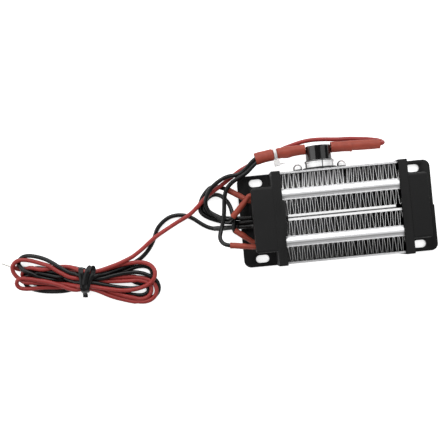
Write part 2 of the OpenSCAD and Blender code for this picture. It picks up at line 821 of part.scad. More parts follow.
upper_neutral_route = concat(
    from_tab(UPPER_NEUTRAL),
    [[-66, 21.2, 5], [-69, 22.4, 2.6], [-72.4, 22.4, 1.5], [-75.6, 20, 1.2],
        [-78.4, 16.4, 1.1], [-79.9, 12.4, 1.1], [-79.8, 8.8, 1.1], [-77.4, 6, 1.1], [-73.4, 3.8, 1.1],
        [-69.4, 2.2, 1.6], [-65, 1, 3], [-60.6, 0.4, 4.9], [-56.4, 0.1, 6.9],
        [-53, 0.1, 7.9], [-49.6, 0.1, 8], splice_point(0.1)]);
lower_neutral_route = concat(
    from_tab(LOWER_NEUTRAL),
    [[-61.3, -1.6, 9], [-61.2, 2, 8.7], [-61.6, 6, 7.2], [-62.4, 10, 5.6], [-64.6, 14.2, 3.9],
        [-68, 17.2, 2.6], [-71.8, 17.8, 1.7], [-75.2, 16, 1.2], [-77.4, 12.8, 1.1], [-77.2, 9.2, 1.1],
        [-74.6, 6.8, 1.1], [-70.8, 5, 1.2], [-67, 3.8, 2.2], [-63.4, 3.2, 3.9], [-59.6, 2.8, 5.5],
        [-55.6, 2.5, 7.2], [-52.4, 2.4, 8], [-49.4, 2.4, 8], splice_point(2.4)]);
red_route = [[22.2, 37.67, 13], [24.2, 37.55, 13], [26, 37.5, 12.9], [27.7, 37.7, 12.1],
    [28.7, 38.3, 10.4], [28.1, 39.2, 8.6], [26, 40.1, 7.9], [23.9, 40.55, 8], [20.8, 41.1, 8.3],
    [17.7, 41.45, 9], [14.6, 41.8, 9.5], [10, 42.35, 10], [3.4, 42.65, 10.5], [-2.7, 43.1, 11],
    [-8.8, 43.45, 11], [-13.8, 43.35, 11], [-17.8, 42.9, 10.8], [-22.2, 41.95, 10.4],
    [-25.9, 41.05, 9.8], [-29.6, 39.95, 9.2], [-33, 38.7, 8.85], [-36.5, 38.2, 8.75],
    [-41, 36.85, 8.5], [-47, 34.3, 8.2],
    [-53, 31.8, 7.4], [-59.4, 28.4, 7], [-66, 23.7, 6.8], [-71.6, 20.3, 6.2], [-76.6, 16.3, 4.7],
    [-80.8, 12.2, 3.6], [-86.8, 7.4, 3.4], [-92.6, 4.5, 3.1], [-98.5, 1.5, 3], [-104.2, -1.6, 3.2],
    [-109.4, -4.8, 3.4], [-114.6, -8.8, 3.4], [-119.6, -12.2, 3.6], [-124.6, -15, 4], [-129.3, -16.9, 4.4]];
lead_sleeve_start = [-73, -1.9, 1.9];
lead_sleeve_end = [-49.8, -2.6, 8];
black_route = [splice_point(-2.6), lead_sleeve_end, (lead_sleeve_start + lead_sleeve_end) / 2,
    lead_sleeve_start, [-76.2, -0.8, 1.3], [-79.8, 1.4, 1.15], [-83.6, 4.4, 1.1], [-88, 7, 1.1],
    [-93, 8, 1.1], [-98, 7.4, 1.1], [-102.6, 4.8, 1.1], [-106.2, 1, 1.1], [-108.2, -3.4, 1.1],
    [-110.6, -8, 1.1], [-113.8, -12, 1.2], [-117.4, -15, 1.4], [-121.5, -17.1, 1.5]];

module black_lead_sleeve() {
    run = lead_sleeve_start - lead_sleeve_end;
    color(wire_black)
    translate(lead_sleeve_end)
    rotate([0, -asin(run[2] / norm(run)), atan2(run[1], run[0])])
    along_x(0, norm(run))
    difference() {
        circle(d = lead_sleeve_d);
        circle(d = wire_d + 0.06);
    }
}

// Wound leads: a flat bundle with two round lobes and a waist for the twist tie
hank_place = [-150.8, -24.3, 0];
hank_turn = -10.5;
hank_height = 6.6;
left_lobe = [-33, 9.5];
right_lobe = [31, 11.6];
waist_half = 7.5;

module hank_lobe(lobe) {
    translate([lobe[0], 0]) circle(lobe[1]);
    polygon([[lobe[0], -lobe[1]], [0, -waist_half], [0, waist_half], [lobe[0], lobe[1]]]);
}

module lead_hank() {
    neck = twist_tie_width / 2;
    color(wire_red)
    translate(hank_place)
    rotate([0, 0, hank_turn]) {
        linear_extrude(hank_height)
        difference() {
            union() {
                hank_lobe(left_lobe);
                hank_lobe(right_lobe);
            }
            square([2 * neck, 4 * waist_half], center = true);
        }
        translate([-neck - past, -waist_half + twist_tie_band, twist_tie_band])
        cube([2 * (neck + past), 2 * (waist_half - twist_tie_band), hank_height - 2 * twist_tie_band]);
    }
}

module twist_tie() {
    color(wire_black)
    translate(hank_place)
    rotate([0, 0, hank_turn])
    translate([-twist_tie_width / 2, 0, hank_height / 2])
    along_x(0, twist_tie_width)
    difference() {
        translate([-waist_half - 0.6, -hank_height / 2])
        rounded_rectangle([2 * waist_half + 1.2, hank_height + 1], 1.2);
        square([2 * (waist_half - twist_tie_band), hank_height - 2 * twist_tie_band], center = true);
    }
}

// Bare tinned ends of the two leads, at the wound bundle's left end
module lead_tip(start, turn, length) {
    color(tin)
    translate(hank_place)
    rotate([0, 0, hank_turn])
    translate([start[0], start[1], 1.4])
    rotate([0, 0, turn])
    along_x(0, length)
    circle(d = 0.9);
}

left_end_cap();
right_end_cap();
upper_side_plate();
mirror([0, 1, 0]) side_plate();  // lower_side_plate
top_fin_row();
fin_row(inner_row_y);  // upper_inner_fin_row
mirror([0, 1, 0]) fin_row(inner_row_y);  // lower_inner_fin_row
mirror([0, 1, 0]) fin_row(outer_row_y);  // bottom_fin_row
color(aluminium) centre_bar(strip_y, centre_strip_thickness, 0, centre_end_gap);  // upper_centre_strip
color(aluminium) centre_bar(-inner_row_y, centre_strip_thickness, 0, 0);  // lower_centre_strip
color([0.55, 0.55, 0.55])  // centre_spacer
    centre_bar(-strip_y, centre_spacer_thickness, centre_spacer_recess, centre_end_gap);
heating_tube(false);  // upper_heating_tube
heating_tube(true);  // lower_heating_tube
insulating_film(false);  // upper_insulating_film
insulating_film(true);  // lower_insulating_film
heating_chips(false);  // upper_heating_chips
heating_chips(true);  // lower_heating_chips
electrode(UPPER_LIVE);  // upper_live_electrode
electrode(UPPER_NEUTRAL);  // upper_neutral_electrode
electrode(LOWER_LIVE);  // lower_live_electrode
electrode(LOWER_NEUTRAL);  // lower_neutral_electrode
thermostat_cap();
thermostat_body();
thermostat_ring();
bimetal_disc();
push_pin();
thermostat_left_terminal();
thermostat_right_terminal();
bracket_screws();
thermostat_left_sleeve();
thermostat_right_sleeve();
fuse_sleeve();
thermal_fuse();
tab_sleeve(UPPER_LIVE);  // upper_live_sleeve
tab_sleeve(UPPER_NEUTRAL);  // upper_neutral_sleeve
tab_sleeve(LOWER_LIVE);  // lower_live_sleeve
tab_sleeve(LOWER_NEUTRAL);  // lower_neutral_sleeve
color(wire_black) wire(upper_live_route, wire_d);  // upper_live_wire
color(wire_black) wire(upper_neutral_route, wire_d);  // upper_neutral_wire
color(wire_black) wire(lower_live_route, wire_d);  // lower_live_wire
color(wire_black) wire(lower_neutral_route, wire_d);  // lower_neutral_wire
neutral_splice();
cable_tie();
color(wire_red) wire(red_route, wire_d);  // red_lead
color(wire_black) wire(black_route, wire_d);  // black_lead
black_lead_sleeve();
lead_hank();
twist_tie();
lead_tip([-41.9, 4], 162, 8);  // red_lead_tip
lead_tip([-42.6, 0], 176, 3);  // black_lead_tip
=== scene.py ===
import bpy
import math
import numpy as np
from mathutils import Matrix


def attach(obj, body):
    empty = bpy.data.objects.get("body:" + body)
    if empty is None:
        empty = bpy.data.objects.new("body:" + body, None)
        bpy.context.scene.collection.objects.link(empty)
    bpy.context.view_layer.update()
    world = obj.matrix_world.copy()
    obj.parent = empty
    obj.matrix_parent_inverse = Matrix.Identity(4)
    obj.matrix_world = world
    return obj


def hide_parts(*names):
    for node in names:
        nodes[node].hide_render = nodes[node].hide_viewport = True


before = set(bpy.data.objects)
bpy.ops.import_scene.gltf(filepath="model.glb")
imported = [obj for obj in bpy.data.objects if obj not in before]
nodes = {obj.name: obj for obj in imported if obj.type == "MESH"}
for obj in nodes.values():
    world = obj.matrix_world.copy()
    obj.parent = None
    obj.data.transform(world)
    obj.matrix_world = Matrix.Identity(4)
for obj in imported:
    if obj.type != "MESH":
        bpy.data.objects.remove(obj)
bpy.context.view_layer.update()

# Camera, table and light
# The heater lies on a white table and is seen from straight above. Large soft lights stand to its left,
# its right and past the thermostat's side, and a faint one fills in from the near side.
MM = 0.001


def placed(name, data):
    """A new object in the scene."""
    made = bpy.data.objects.new(name, data)
    bpy.context.scene.collection.objects.link(made)
    return made


camera = placed("camera", bpy.data.cameras.new("camera"))
camera.location = (-0.06981, -0.00566, 0.514)
camera.rotation_euler = (0, 0, math.radians(-5.5))
camera.data.sensor_width = 36
camera.data.lens = 71.47
camera.data.shift_y = 0.033
camera.data.clip_start = 0.01
bpy.context.scene.camera = camera
bpy.context.scene.view_settings.view_transform = "Standard"


class Shading:
    """The shader nodes of a material or of the world. Each method adds a node and gives back its result."""

    def __init__(self, owner, shader, fixed):
        owner.use_nodes = True
        self.owner = owner
        self.tree = owner.node_tree
        self.main = self.tree.nodes[shader].inputs
        for key, value in fixed.items():
            self.main[key].default_value = value

    def add(self, kind, inputs=(), **settings):
        """Any node: inputs are values or sockets by name or number, settings are its own fields."""
        made = self.tree.nodes.new(kind)
        for field, value in settings.items():
            setattr(made, field, value)
        for key, value in dict(inputs).items():
            if isinstance(value, bpy.types.NodeSocket):
                self.tree.links.new(value, made.inputs[key])
            else:
                made.inputs[key].default_value = value
        return made.outputs

    def link(self, value, key):
        """Links a value to an input of the main shader."""
        self.tree.links.new(value, self.main[key])

    def calc(self, operation, *values, clamp=False):
        return self.add("ShaderNodeMath", enumerate(values), operation=operation, use_clamp=clamp)[0]

    def span(self, value, start, end, low=0.0, high=1.0, smooth=False):
        """The value carried over from start and end to low and high, and held there past either."""
        return self.add("ShaderNodeMapRange", {"Value": value, "From Min": start, "From Max": end,
                                               "To Min": low, "To Max": high},
                        interpolation_type="SMOOTHSTEP" if smooth else "LINEAR")[0]


def soft_light(name, place, aim, size, watts):
    """A lamp turned so that it shines from its place towards the aim."""
    lamp = placed(name, bpy.data.lights.new(name, "AREA"))
    lamp.data.shape = "RECTANGLE"
    lamp.data.size, lamp.data.size_y = size
    lamp.data.energy = watts
    lamp.location = place
    way = np.subtract(aim, place)
    lamp.rotation_euler = (math.atan2(np.hypot(way[0], way[1]), -way[2]), 0,
                           math.atan2(way[1], way[0]) - math.pi / 2)


soft_light("far_light", (-0.03, 0.60, 0.54), (-0.03, 0, 0), (1.1, 0.92), 8.0)
soft_light("left_light", (-0.67, 0.05, 0.40), (-0.03, 0.05, 0), (0.9, 0.7), 3.0)
soft_light("right_light", (0.43, 0.05, 0.59), (-0.03, 0.05, 0), (0.9, 0.56), 1.4)
soft_light("near_light", (-0.03, -0.60, 0.54), (-0.03, 0, 0), (1.1, 0.92), 1.2)

# The world is white where the camera sees it, but lights the pieces only faintly.
fill = 0.06
world = bpy.data.worlds.new("studio")
studio = Shading(world, "Background", {"Color": (1, 1, 1, 1)})
seen = studio.add("ShaderNodeLightPath")["Is Camera Ray"]
studio.link(studio.calc("MULTIPLY_ADD", seen, 1 - fill, fill), "Strength")
bpy.context.scene.world = world

table_half = 2
table = bpy.data.meshes.new("table")
table.from_pydata([(x * table_half, y * table_half, 0) for x, y in ((-1, -1), (1, -1), (1, 1), (-1, 1))],
                  [], [(0, 1, 2, 3)])
table_top = placed("table", table)

# The table glows a little where it is seen, so that it comes out white, but not in the narrow gaps between
# pieces, where its own shade shows.
glow, glow_in_metal, narrow_gap = 0.78, 0.6, 1.9
paper = Shading(bpy.data.materials.new("table_white"), "Principled BSDF",
                {"Base Color": (0.80, 0.80, 0.80, 1), "Roughness": 0.9, "Specular IOR Level": 0.1,
                 "Emission Color": (1, 1, 1, 1)})
rays = paper.add("ShaderNodeLightPath")
seen = paper.calc("MAXIMUM", rays["Is Camera Ray"], rays["Is Transmission Ray"])
seen = paper.calc("MAXIMUM", seen, paper.calc("MULTIPLY", rays["Is Glossy Ray"], glow_in_metal))
open_above = paper.add("ShaderNodeAmbientOcclusion", {"Distance": narrow_gap * MM}, samples=8)["AO"]
seen = paper.calc("MULTIPLY", seen, paper.span(open_above, 0.2, 0.6))
paper.link(paper.calc("MULTIPLY", seen, glow), "Emission Strength")
table.materials.append(paper.owner)

# Red and black leads
# Stranded copper with a soft silicone jacket, 2.45 mm thick. Both run along the table to the bundle, which
# is wound in three turns and lies flat in three layers, with the bare ends at its left.
wire_d = 2.45 * MM
wire_r = wire_d / MM / 2
table_gap = 0.05
red_run = [
    (22.2, 37.67, 13), (24.2, 37.55, 13), (26, 37.5, 12.9), (27.7, 37.7, 12.1), (28.7, 38.3, 10.4),
    (28.1, 39.2, 8.6), (26, 40.1, 7.9), (23.9, 40.55, 8), (20.8, 41.1, 8.3), (17.7, 41.45, 9),
    (14.6, 41.75, 9.5), (10, 42.2, 10), (3.4, 42.45, 10.5), (-2.7, 42.95, 11), (-8.8, 43.4, 11),
    (-13.8, 43.35, 11), (-17.8, 42.9, 10.8), (-22.2, 41.95, 10.4), (-25.9, 41.05, 9.8),
    (-29.6, 39.95, 9.2), (-33, 38.7, 8.85), (-36.5, 38.2, 8.75), (-41, 36.8, 8.5), (-47, 33.7, 8.2),
    (-50.4, 32.1, 8), (-54.3, 30.3, 7.6), (-58, 28.1, 7.3), (-62, 25.5, 7), (-66, 22.9, 6.8),
    (-71.6, 19.5, 6.2), (-76.6, 16, 4.7),
    (-80.8, 12.2, 3.8), (-86.8, 7.4, 3.7), (-92.6, 4.5, 3.4), (-98.5, 1.5, 3.3), (-104.2, -1.6, 3.5),
    (-109.4, -4.8, 3.8), (-114.6, -8.8, 3.7), (-119.6, -12.2, 3.8), (-124.6, -15, 4),
    (-129.3, -16.9, 4.4)]
red_turns = [
    (-136, -17.9, 5.2), (-142, -18.9, 5.2), (-146.8, -19.3, 5.5), (-152.7, -18.2, 5.5),
    (-158.2, -17, 3.6), (-163.3, -17.1, 2.8), (-168.5, -17.9, 2.4), (-173, -18, 2.3),
    (-177.2, -17, 2.2), (-180.8, -15.9, 2.1), (-183.9, -15.9, 2), (-185.9, -17.4, 1.7), (-186.2, -19.7, 1.3),
    (-184.8, -21.6, 1.1), (-181.8, -22.3, 1.1), (-176.5, -21.8, 1.1), (-169, -21, 1.1), (-160, -20.8, 1.1),
    (-153.1, -20.4, 2), (-147.2, -21.5, 2), (-141, -23.2, 1.6), (-135, -24.6, 2.3), (-128, -25.3, 2.6),
    (-121.5, -25.7, 2.7), (-115.8, -27, 2.8), (-111.6, -29.8, 3), (-109.8, -33.6, 3.2),
    (-110.8, -37.4, 3.4), (-114.4, -40, 3.5), (-119, -40.4, 3.5), (-125, -39, 3.5), (-131, -37.2, 3.4),
    (-137.5, -35.2, 3.4), (-144, -32.6, 3.2), (-148.9, -30.7, 3.8), (-154.8, -29.4, 3.8),
    (-162, -26.2, 4.4), (-170.3, -23, 4.8), (-178.8, -20.2, 4.8), (-184.2, -19.5, 4.6),
    (-187.7, -19.9, 4.2), (-190, -21.9, 3.6), (-189.5, -24.5, 2.9), (-186.8, -25.8, 2.4), (-182.4, -26, 2.1),
    (-176, -25.6, 1.8), (-168, -25.4, 1.5), (-161, -26.2, 1.9), (-154.5, -27.3, 3.7),
    (-148.6, -28.8, 3.7), (-143, -31, 3.4), (-136.5, -33.4, 3.8), (-130, -35.6, 4), (-124, -37.7, 4),
    (-118.6, -38.6, 3.9), (-114.6, -37.3, 3.6), (-112.8, -34, 3.2), (-113.4, -30.9, 2.9),
    (-116.8, -28.6, 2.7), (-122.5, -27.3, 2.6), (-129, -26.7, 2.6), (-135.5, -26.2, 2.6),
    (-141.5, -25.6, 2.8), (-147.8, -24.8, 3.8), (-153.7, -23.9, 3.8), (-158.5, -22.6, 4.4),
    (-164, -19.5, 4.8), (-169.5, -16.2, 4.9), (-177.6, -11.9, 4.8), (-184.1, -9.7, 4.6),
    (-189, -10, 4.2), (-191.6, -12.6, 3.8), (-191.4, -15.7, 3.3), (-189, -18.6, 2.6), (-185, -20.8, 2),
    (-179, -22.6, 1.6), (-172, -23.8, 1.6), (-164, -25, 2.4), (-159, -25.9, 4), (-154.3, -26.9, 5.6),
    (-148.4, -28, 5.6), (-142.5, -29.8, 4.9), (-136.5, -31.4, 4.9), (-130, -32.6, 4.9),
    (-123.3, -32.8, 5), (-117.6, -31.8, 5.2), (-113, -29.8, 5.3), (-110.2, -26.8, 5.2),
    (-109.7, -23, 4.8), (-111.8, -19.6, 4.2), (-116, -17.6, 3.8), (-121.6, -17.1, 3.6),
    (-128, -17.7, 3.4), (-135, -18.9, 3.1), (-141.5, -20, 3), (-147, -20.4, 3.8),
    (-152.9, -19.5, 3.6), (-159.5, -18.9, 1.4), (-167, -18.9, 1.1), (-175, -18.6, 1.1),
    (-182, -17.3, 1.1), (-187.2, -15.6, 1.2), (-190, -14.4, 1.3), (-191.8, -13.4, 1.4)]
splice_x = -47.6
black_run = [(splice_x, -2.6, 8), (-49.8, -2.6, 8), (-61.4, -2.25, 4.95), (-73, -1.9, 1.9),
             (-76.2, -0.8, 1.3), (-79.8, 1.4, 1.15), (-83.6, 4.4, 1.1), (-88, 7, 1.1), (-93, 8, 1.1),
             (-98, 7.4, 1.1), (-102.6, 4.8, 1.1), (-106.2, 1, 1.1), (-108.2, -3.4, 1.1),
             (-110.6, -8, 1.1), (-113.8, -12, 1.2), (-117.4, -15, 1.4), (-121.5, -17.1, 1.5)]
black_turns = [
    (-127, -18.9, 1.6), (-133.5, -20.3, 2), (-140.5, -21.3, 3.2), (-147.2, -21.5, 5.6),
    (-153.1, -20.4, 5.6), (-158, -19.7, 5.6), (-162.6, -17.5, 5.6), (-166.5, -14.4, 5.6),
    (-170.5, -11.5, 5.4), (-174.4, -9.5, 5), (-178.8, -8, 4.5), (-183.4, -7.3, 3.8), (-187, -8.2, 3),
    (-188.7, -10.3, 2.8), (-187.8, -13.1, 3.6), (-185, -15.8, 4.5), (-181, -18.2, 4.4),
    (-176.5, -20.3, 2.8), (-170, -21.6, 1.5), (-162, -22, 1.4), (-153.3, -21.7, 3.8),
    (-147.4, -22.6, 3.8), (-142, -22.8, 3.6), (-136, -22.6, 4), (-129.5, -22.5, 4.1),
    (-123.4, -22.6, 4), (-118, -23.5, 3.6), (-113.2, -25.7, 3), (-109.6, -28.7, 2.4),
    (-108.4, -32.4, 2), (-109.4, -36, 1.5), (-112.6, -38.4, 1.2), (-117.5, -39, 1.1),
    (-124, -37.8, 1.1), (-131, -35.7, 1.1), (-138, -33.3, 1.1), (-144, -31.2, 1.1),
    (-148.8, -30.2, 2), (-154.7, -29.6, 2), (-162, -30.2, 1.2), (-169.4, -29.6, 1.3),
    (-176, -28.5, 1.3), (-181.5, -26.6, 1.4), (-185.2, -23.6, 1.4), (-185.6, -20.2, 1.6),
    (-182.4, -18.2, 3), (-177, -18, 3.2), (-170, -19, 2.2), (-162, -21, 1.6), (-153.5, -22.6, 2),
    (-147.6, -23.7, 2), (-141, -25.3, 1.1), (-133, -26.2, 1.1), (-125, -26.6, 1.1),
    (-118.6, -27.4, 1.1), (-115, -29.5, 1.1), (-113.9, -32.6, 1.4), (-115.7, -35.3, 1.8),
    (-119.2, -36.4, 2.1), (-123, -36.2, 2.2), (-127.5, -35.2, 2.4), (-133.5, -33.3, 2.4), (-140, -31, 1.9),
    (-148.4, -28, 2), (-154.3, -26.9, 2), (-161, -25.8, 1.1), (-168, -25.2, 1.1), (-175, -24.2, 1.1),
    (-180, -23.2, 1.1), (-183.4, -21.6, 1.1), (-184.3, -18.9, 1.2), (-181.9, -17, 1.2),
    (-177.6, -16.7, 1.1), (-172.5, -17.7, 1.1), (-166.5, -19.2, 1.2), (-160.5, -21.9, 1.8),
    (-154.1, -25.8, 3.8), (-148.2, -26.9, 3.8), (-142, -28, 2.9), (-135.5, -29.7, 2.7), (-129.5, -31, 2.3),
    (-123.5, -31.6, 1.9), (-117.8, -30.9, 1.6), (-113.6, -28.6, 1.4), (-111.6, -25.2, 1.3),
    (-112.2, -21.9, 1.3), (-115.4, -19.9, 1.3), (-120.4, -19.6, 1.2), (-126.5, -21, 1.1),
    (-133, -21.9, 1.1), (-140, -21.7, 1.1), (-146.8, -19.8, 2), (-152.7, -18.8, 2),
    (-160, -18, 1.1), (-168, -17.8, 1.1), (-175.6, -18.3, 1.1), (-182, -18.4, 1.1),
    (-186.4, -16.6, 1.2), (-189.9, -13.1, 1.3)]


def distance_along(line):
    """Distance from a line's start to each of its points."""
    return np.concatenate(([0], np.cumsum(np.linalg.norm(np.diff(line, axis=0), axis=1))))


def smooth_line(points, spacing):
    """A natural cubic spline through the points, with the chord as its parameter, cut into equal steps."""
    p = np.asarray(points, float)
    chord = np.linalg.norm(np.diff(p, axis=0), axis=1)
    t = np.concatenate(([0], np.cumsum(chord)))
    count = len(p)
    system = np.eye(count)
    right = np.zeros_like(p)
    inner = np.arange(1, count - 1)
    system[inner, inner - 1] = chord[:-1]
    system[inner, inner] = 2 * (chord[:-1] + chord[1:])
    system[inner, inner + 1] = chord[1:]
    slope = np.diff(p, axis=0) / chord[:, None]
    right[1:-1] = 6 * np.diff(slope, axis=0)
    bend = np.linalg.solve(system, right)
    fine = np.linspace(0, t[-1], int(t[-1] / spacing * 8) + 2)
    at = np.clip(np.searchsorted(t, fine, side="right") - 1, 0, count - 2)
    h = chord[at][:, None]
    a = (t[at + 1] - fine)[:, None] / h
    b = 1 - a
    line = (a * p[at] + b * p[at + 1]
            + ((a ** 3 - a) * bend[at] + (b ** 3 - b) * bend[at + 1]) * h ** 2 / 6)
    run = distance_along(line)
    even = np.linspace(0, run[-1], max(int(round(run[-1] / spacing)), 2) + 1)
    return np.stack([np.interp(even, run, line[:, k]) for k in range(3)], axis=1)


def laid_line(points, spacing):
    """The smooth line through the points, held off the table by a wire's own radius."""
    line = smooth_line(points, spacing)
    line[:, 2] = np.maximum(line[:, 2], wire_r + 0.03)
    return line


def unit(rows):
    """Each row divided by its own length."""
    return rows / np.linalg.norm(rows, axis=1, keepdims=True)


def tube_frames(line):
    """Tangent, side and up at each point of a line. The side starts level and is then turned back by the
    sum of its own twist, so that neighbouring rings never wind against each other."""
    tangent = unit(np.gradient(line, axis=0))
    side = unit(np.cross([0.05, 0.02, 1.0], tangent))
    up = np.cross(tangent, side)
    carried = side[:-1] - np.sum(side[:-1] * tangent[1:], axis=1, keepdims=True) * tangent[1:]
    twist = np.arctan2(np.sum(carried * up[1:], axis=1), np.sum(carried * side[1:], axis=1))
    turn = np.concatenate(([0], np.cumsum(twist)))[:, None]
    return tangent, np.cos(turn) * side + np.sin(turn) * up, np.cos(turn) * up - np.sin(turn) * side


def skin(name, grid, material, lengths=None, loop=False, crease=40):
    """Joins a grid of points, rings by sides, into a closed skin: neighbours share a face, and the two end
    rings get lids, or meet where loop is set. The UV map holds the length along it and the turn round it."""
    rings, sides = grid.shape[:2]
    ring = np.arange(rings if loop else rings - 1)[:, None]
    place = np.arange(sides)[None, :]
    after = (ring + 1) % rings
    quad = ((ring, place), (ring, place + 1), (after, place + 1), (after, place))
    corners = np.stack([r * sides + p % sides for r, p in quad], -1)
    faces = corners.reshape(-1, 4).tolist()
    if not loop:
        faces += [list(range(sides))[::-1], list(range((rings - 1) * sides, rings * sides))]
    mesh = bpy.data.meshes.new(name)
    mesh.from_pydata((grid.reshape(-1, 3) * MM).tolist(), [], faces)
    if lengths is None:
        lengths = distance_along(grid.mean(axis=1))
    uv = np.zeros((len(mesh.loops), 2))
    uv[:corners.size, 0] = np.stack([lengths[r] + 0 * p for r, p in quad], -1).reshape(-1)
    uv[:corners.size, 1] = np.stack([p / sides + 0 * r for r, p in quad], -1).reshape(-1)
    mesh.uv_layers.new(name="along").data.foreach_set("uv", uv.reshape(-1).astype(np.float32))
    mesh.shade_smooth()
    mesh.set_sharp_from_angle(angle=math.radians(crease))
    mesh.materials.append(material)
    return placed(name, mesh)


def whole_turn(sides):
    """Even angles once round, without the last, which is the first again."""
    return np.linspace(0, 2 * np.pi, sides, endpoint=False)


def tube(name, line, material):
    """A wire's circle, as 16 sides, carried along the line."""
    tangent, side, up = tube_frames(line)
    turn = whole_turn(16)[None, :, None]
    circle = wire_r * (np.cos(turn) * side[:, None] + np.sin(turn) * up[:, None])
    return skin(name, line[:, None] + circle, material)


tie_place = np.array([-150.8, -24.3])
tie_turn = math.radians(-10.5)
tie_axis = np.array([math.cos(tie_turn), math.sin(tie_turn)])
tie_side = np.array([-math.sin(tie_turn), math.cos(tie_turn)])
tie_middle_along, tie_middle_across = 2, 0.2
tie_pull, tie_lift, tie_reach = 0.5, 0.6, 12
tie_band = 0.9
bundle_top = 6.2


def settle(strands, fixed, thick, steps):
    """Lets wound strands push each other aside. The tie first draws them together and so up, least at a
    distance. Then points of different strands, or of one strand further along, that are nearer than one
    thickness move apart; how far each has moved is smoothed along its strand and fades; and none sinks
    into the table, or into the tie's band where that passes under the bundle."""
    p = np.concatenate(strands)
    along = (p[:, :2] - tie_place) @ tie_axis
    across = (p[:, :2] - tie_place) @ tie_side
    neck = np.exp(-((along - tie_middle_along) / tie_reach) ** 2)
    p[:, :2] -= (tie_pull * (across - tie_middle_across) * neck)[:, None] * tie_side
    p[:, 2] *= 1 + tie_lift * neck
    home = p.copy()
    number = np.concatenate([np.arange(len(s)) for s in strands])
    owner = np.concatenate([np.full(len(s), k) for k, s in enumerate(strands)])
    held = np.concatenate(fixed)
    bend_reach = thick * 2.2 / np.linalg.norm(strands[0][1] - strands[0][0])
    near = (owner[:, None] == owner[None, :]) & (np.abs(number[:, None] - number[None, :]) < bend_reach)
    inner = np.flatnonzero((owner[1:-1] == owner[:-2]) & (owner[1:-1] == owner[2:])) + 1
    longest_move = 0.5
    for step in range(steps):
        gap = p[:, None] - p[None, :]
        distance = np.sqrt(np.sum(gap ** 2, axis=2)) + 1e-6
        push = np.clip(thick - distance, 0, None) * ~near
        move = np.sum(gap * (push / distance)[:, :, None], axis=1)
        size = np.linalg.norm(move, axis=1, keepdims=True) + 1e-6
        move *= 0.5 * np.minimum(size, longest_move) / size
        moved = p - home
        bend = np.zeros_like(p)
        bend[inner] = (moved[inner - 1] + moved[inner + 1]) / 2 - moved[inner]
        fade = 1 - step / steps
        p = p + np.where(held[:, None], 0, move + 0.5 * bend - 0.02 * fade * moved)
        along = (p[:, :2] - tie_place) @ tie_axis
        rise = tie_band * np.exp(-((along - tie_middle_along) / 5.5) ** 6)
        p[:, 2] = np.where(held, p[:, 2], np.clip(p[:, 2], thick / 2 + rise, bundle_top + 2.6 * rise))
    return np.split(p, np.cumsum([len(s) for s in strands])[:-1])


step_mm = 1.5
red_line = laid_line(red_run + red_turns, step_mm)
black_line = laid_line(black_run + black_turns, step_mm)
red_line, black_line = settle(
    [red_line, black_line], [red_line[:, 0] > -122, black_line[:, 0] > -112],
    wire_d / MM + table_gap, 140)


class Finish(Shading):
    """The shader nodes of a new material, with some of its shader's inputs fixed."""

    def __init__(self, name, fixed):
        super().__init__(bpy.data.materials.new(name), "Principled BSDF", fixed)
        coords = self.add("ShaderNodeTexCoord")
        self.place, self.uv, self.facing = coords["Object"], coords["UV"], coords["Normal"]

    def noise(self, scale, detail, vector=None):
        """Noise over the piece's own place, or another vector. Three scales draw it out along an axis."""
        vector = self.place if vector is None else vector
        if isinstance(scale, tuple):
            vector, scale = self.add("ShaderNodeMapping", {"Vector": vector, "Scale": scale})[0], 1.0
        return self.add("ShaderNodeTexNoise", {"Vector": vector, "Scale": scale, "Detail": detail})["Fac"]

    def blend(self, factor, a, b):
        """A colour on the way from a to b, each of them three numbers or a socket."""
        a, b = (end if isinstance(end, bpy.types.NodeSocket) else (*end, 1) for end in (a, b))
        return self.add("ShaderNodeMix", {"Factor": factor, "A": a, "B": b}, data_type="RGBA")["Result"]

    def bump(self, height, strength, depth_mm, under=None):
        """The surface's normal tilted by the slope of a height, over another tilt where one is given."""
        inputs = {"Height": height, "Strength": strength, "Distance": depth_mm * MM}
        return self.add("ShaderNodeBump", inputs if under is None else {**inputs, "Normal": under})["Normal"]

    def made(self, colour, roughness, normal=None):
        """Links the three main results and gives back the material."""
        self.link(colour, "Base Color")
        self.link(roughness, "Roughness")
        if normal is not None:
            self.link(normal, "Normal")
        return self.owner


def jacket(name, colour, roughness):
    """Silicone wire jacket: the colour drifts slowly along the wire, faint die lines run with it, and a
    fine grain breaks the gloss."""
    finish = Finish(name, {"Specular IOR Level": 0.32})
    die_lines = finish.noise((0.02, 26.0, 1.0), 2.0, finish.uv)
    grain = finish.noise(2600, 2)
    return finish.made(
        finish.blend(finish.noise(90, 3), [c * 0.72 for c in colour], [c * 1.18 + 0.002 for c in colour]),
        finish.span(grain, 0.3, 0.7, roughness - 0.07, roughness + 0.09),
        finish.bump(finish.calc("ADD", die_lines, grain), 0.25, 0.04))


red_jacket = jacket("red_jacket", (0.305, 0.033, 0.029), 0.34)
black_jacket = jacket("black_jacket", (0.003, 0.003, 0.0032), 0.22)

red_lead = tube("red_lead_wire", red_line, red_jacket)
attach(red_lead, "root")
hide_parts("red_lead", "lead_hank")
black_lead = tube("black_lead_wire", black_line, black_jacket)
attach(black_lead, "root")
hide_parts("black_lead")

# Bare ends of the two leads
# Seven tinned copper strands twisted together, cut off and dipped in solder, which rounds the very end.
tip_r = 0.6


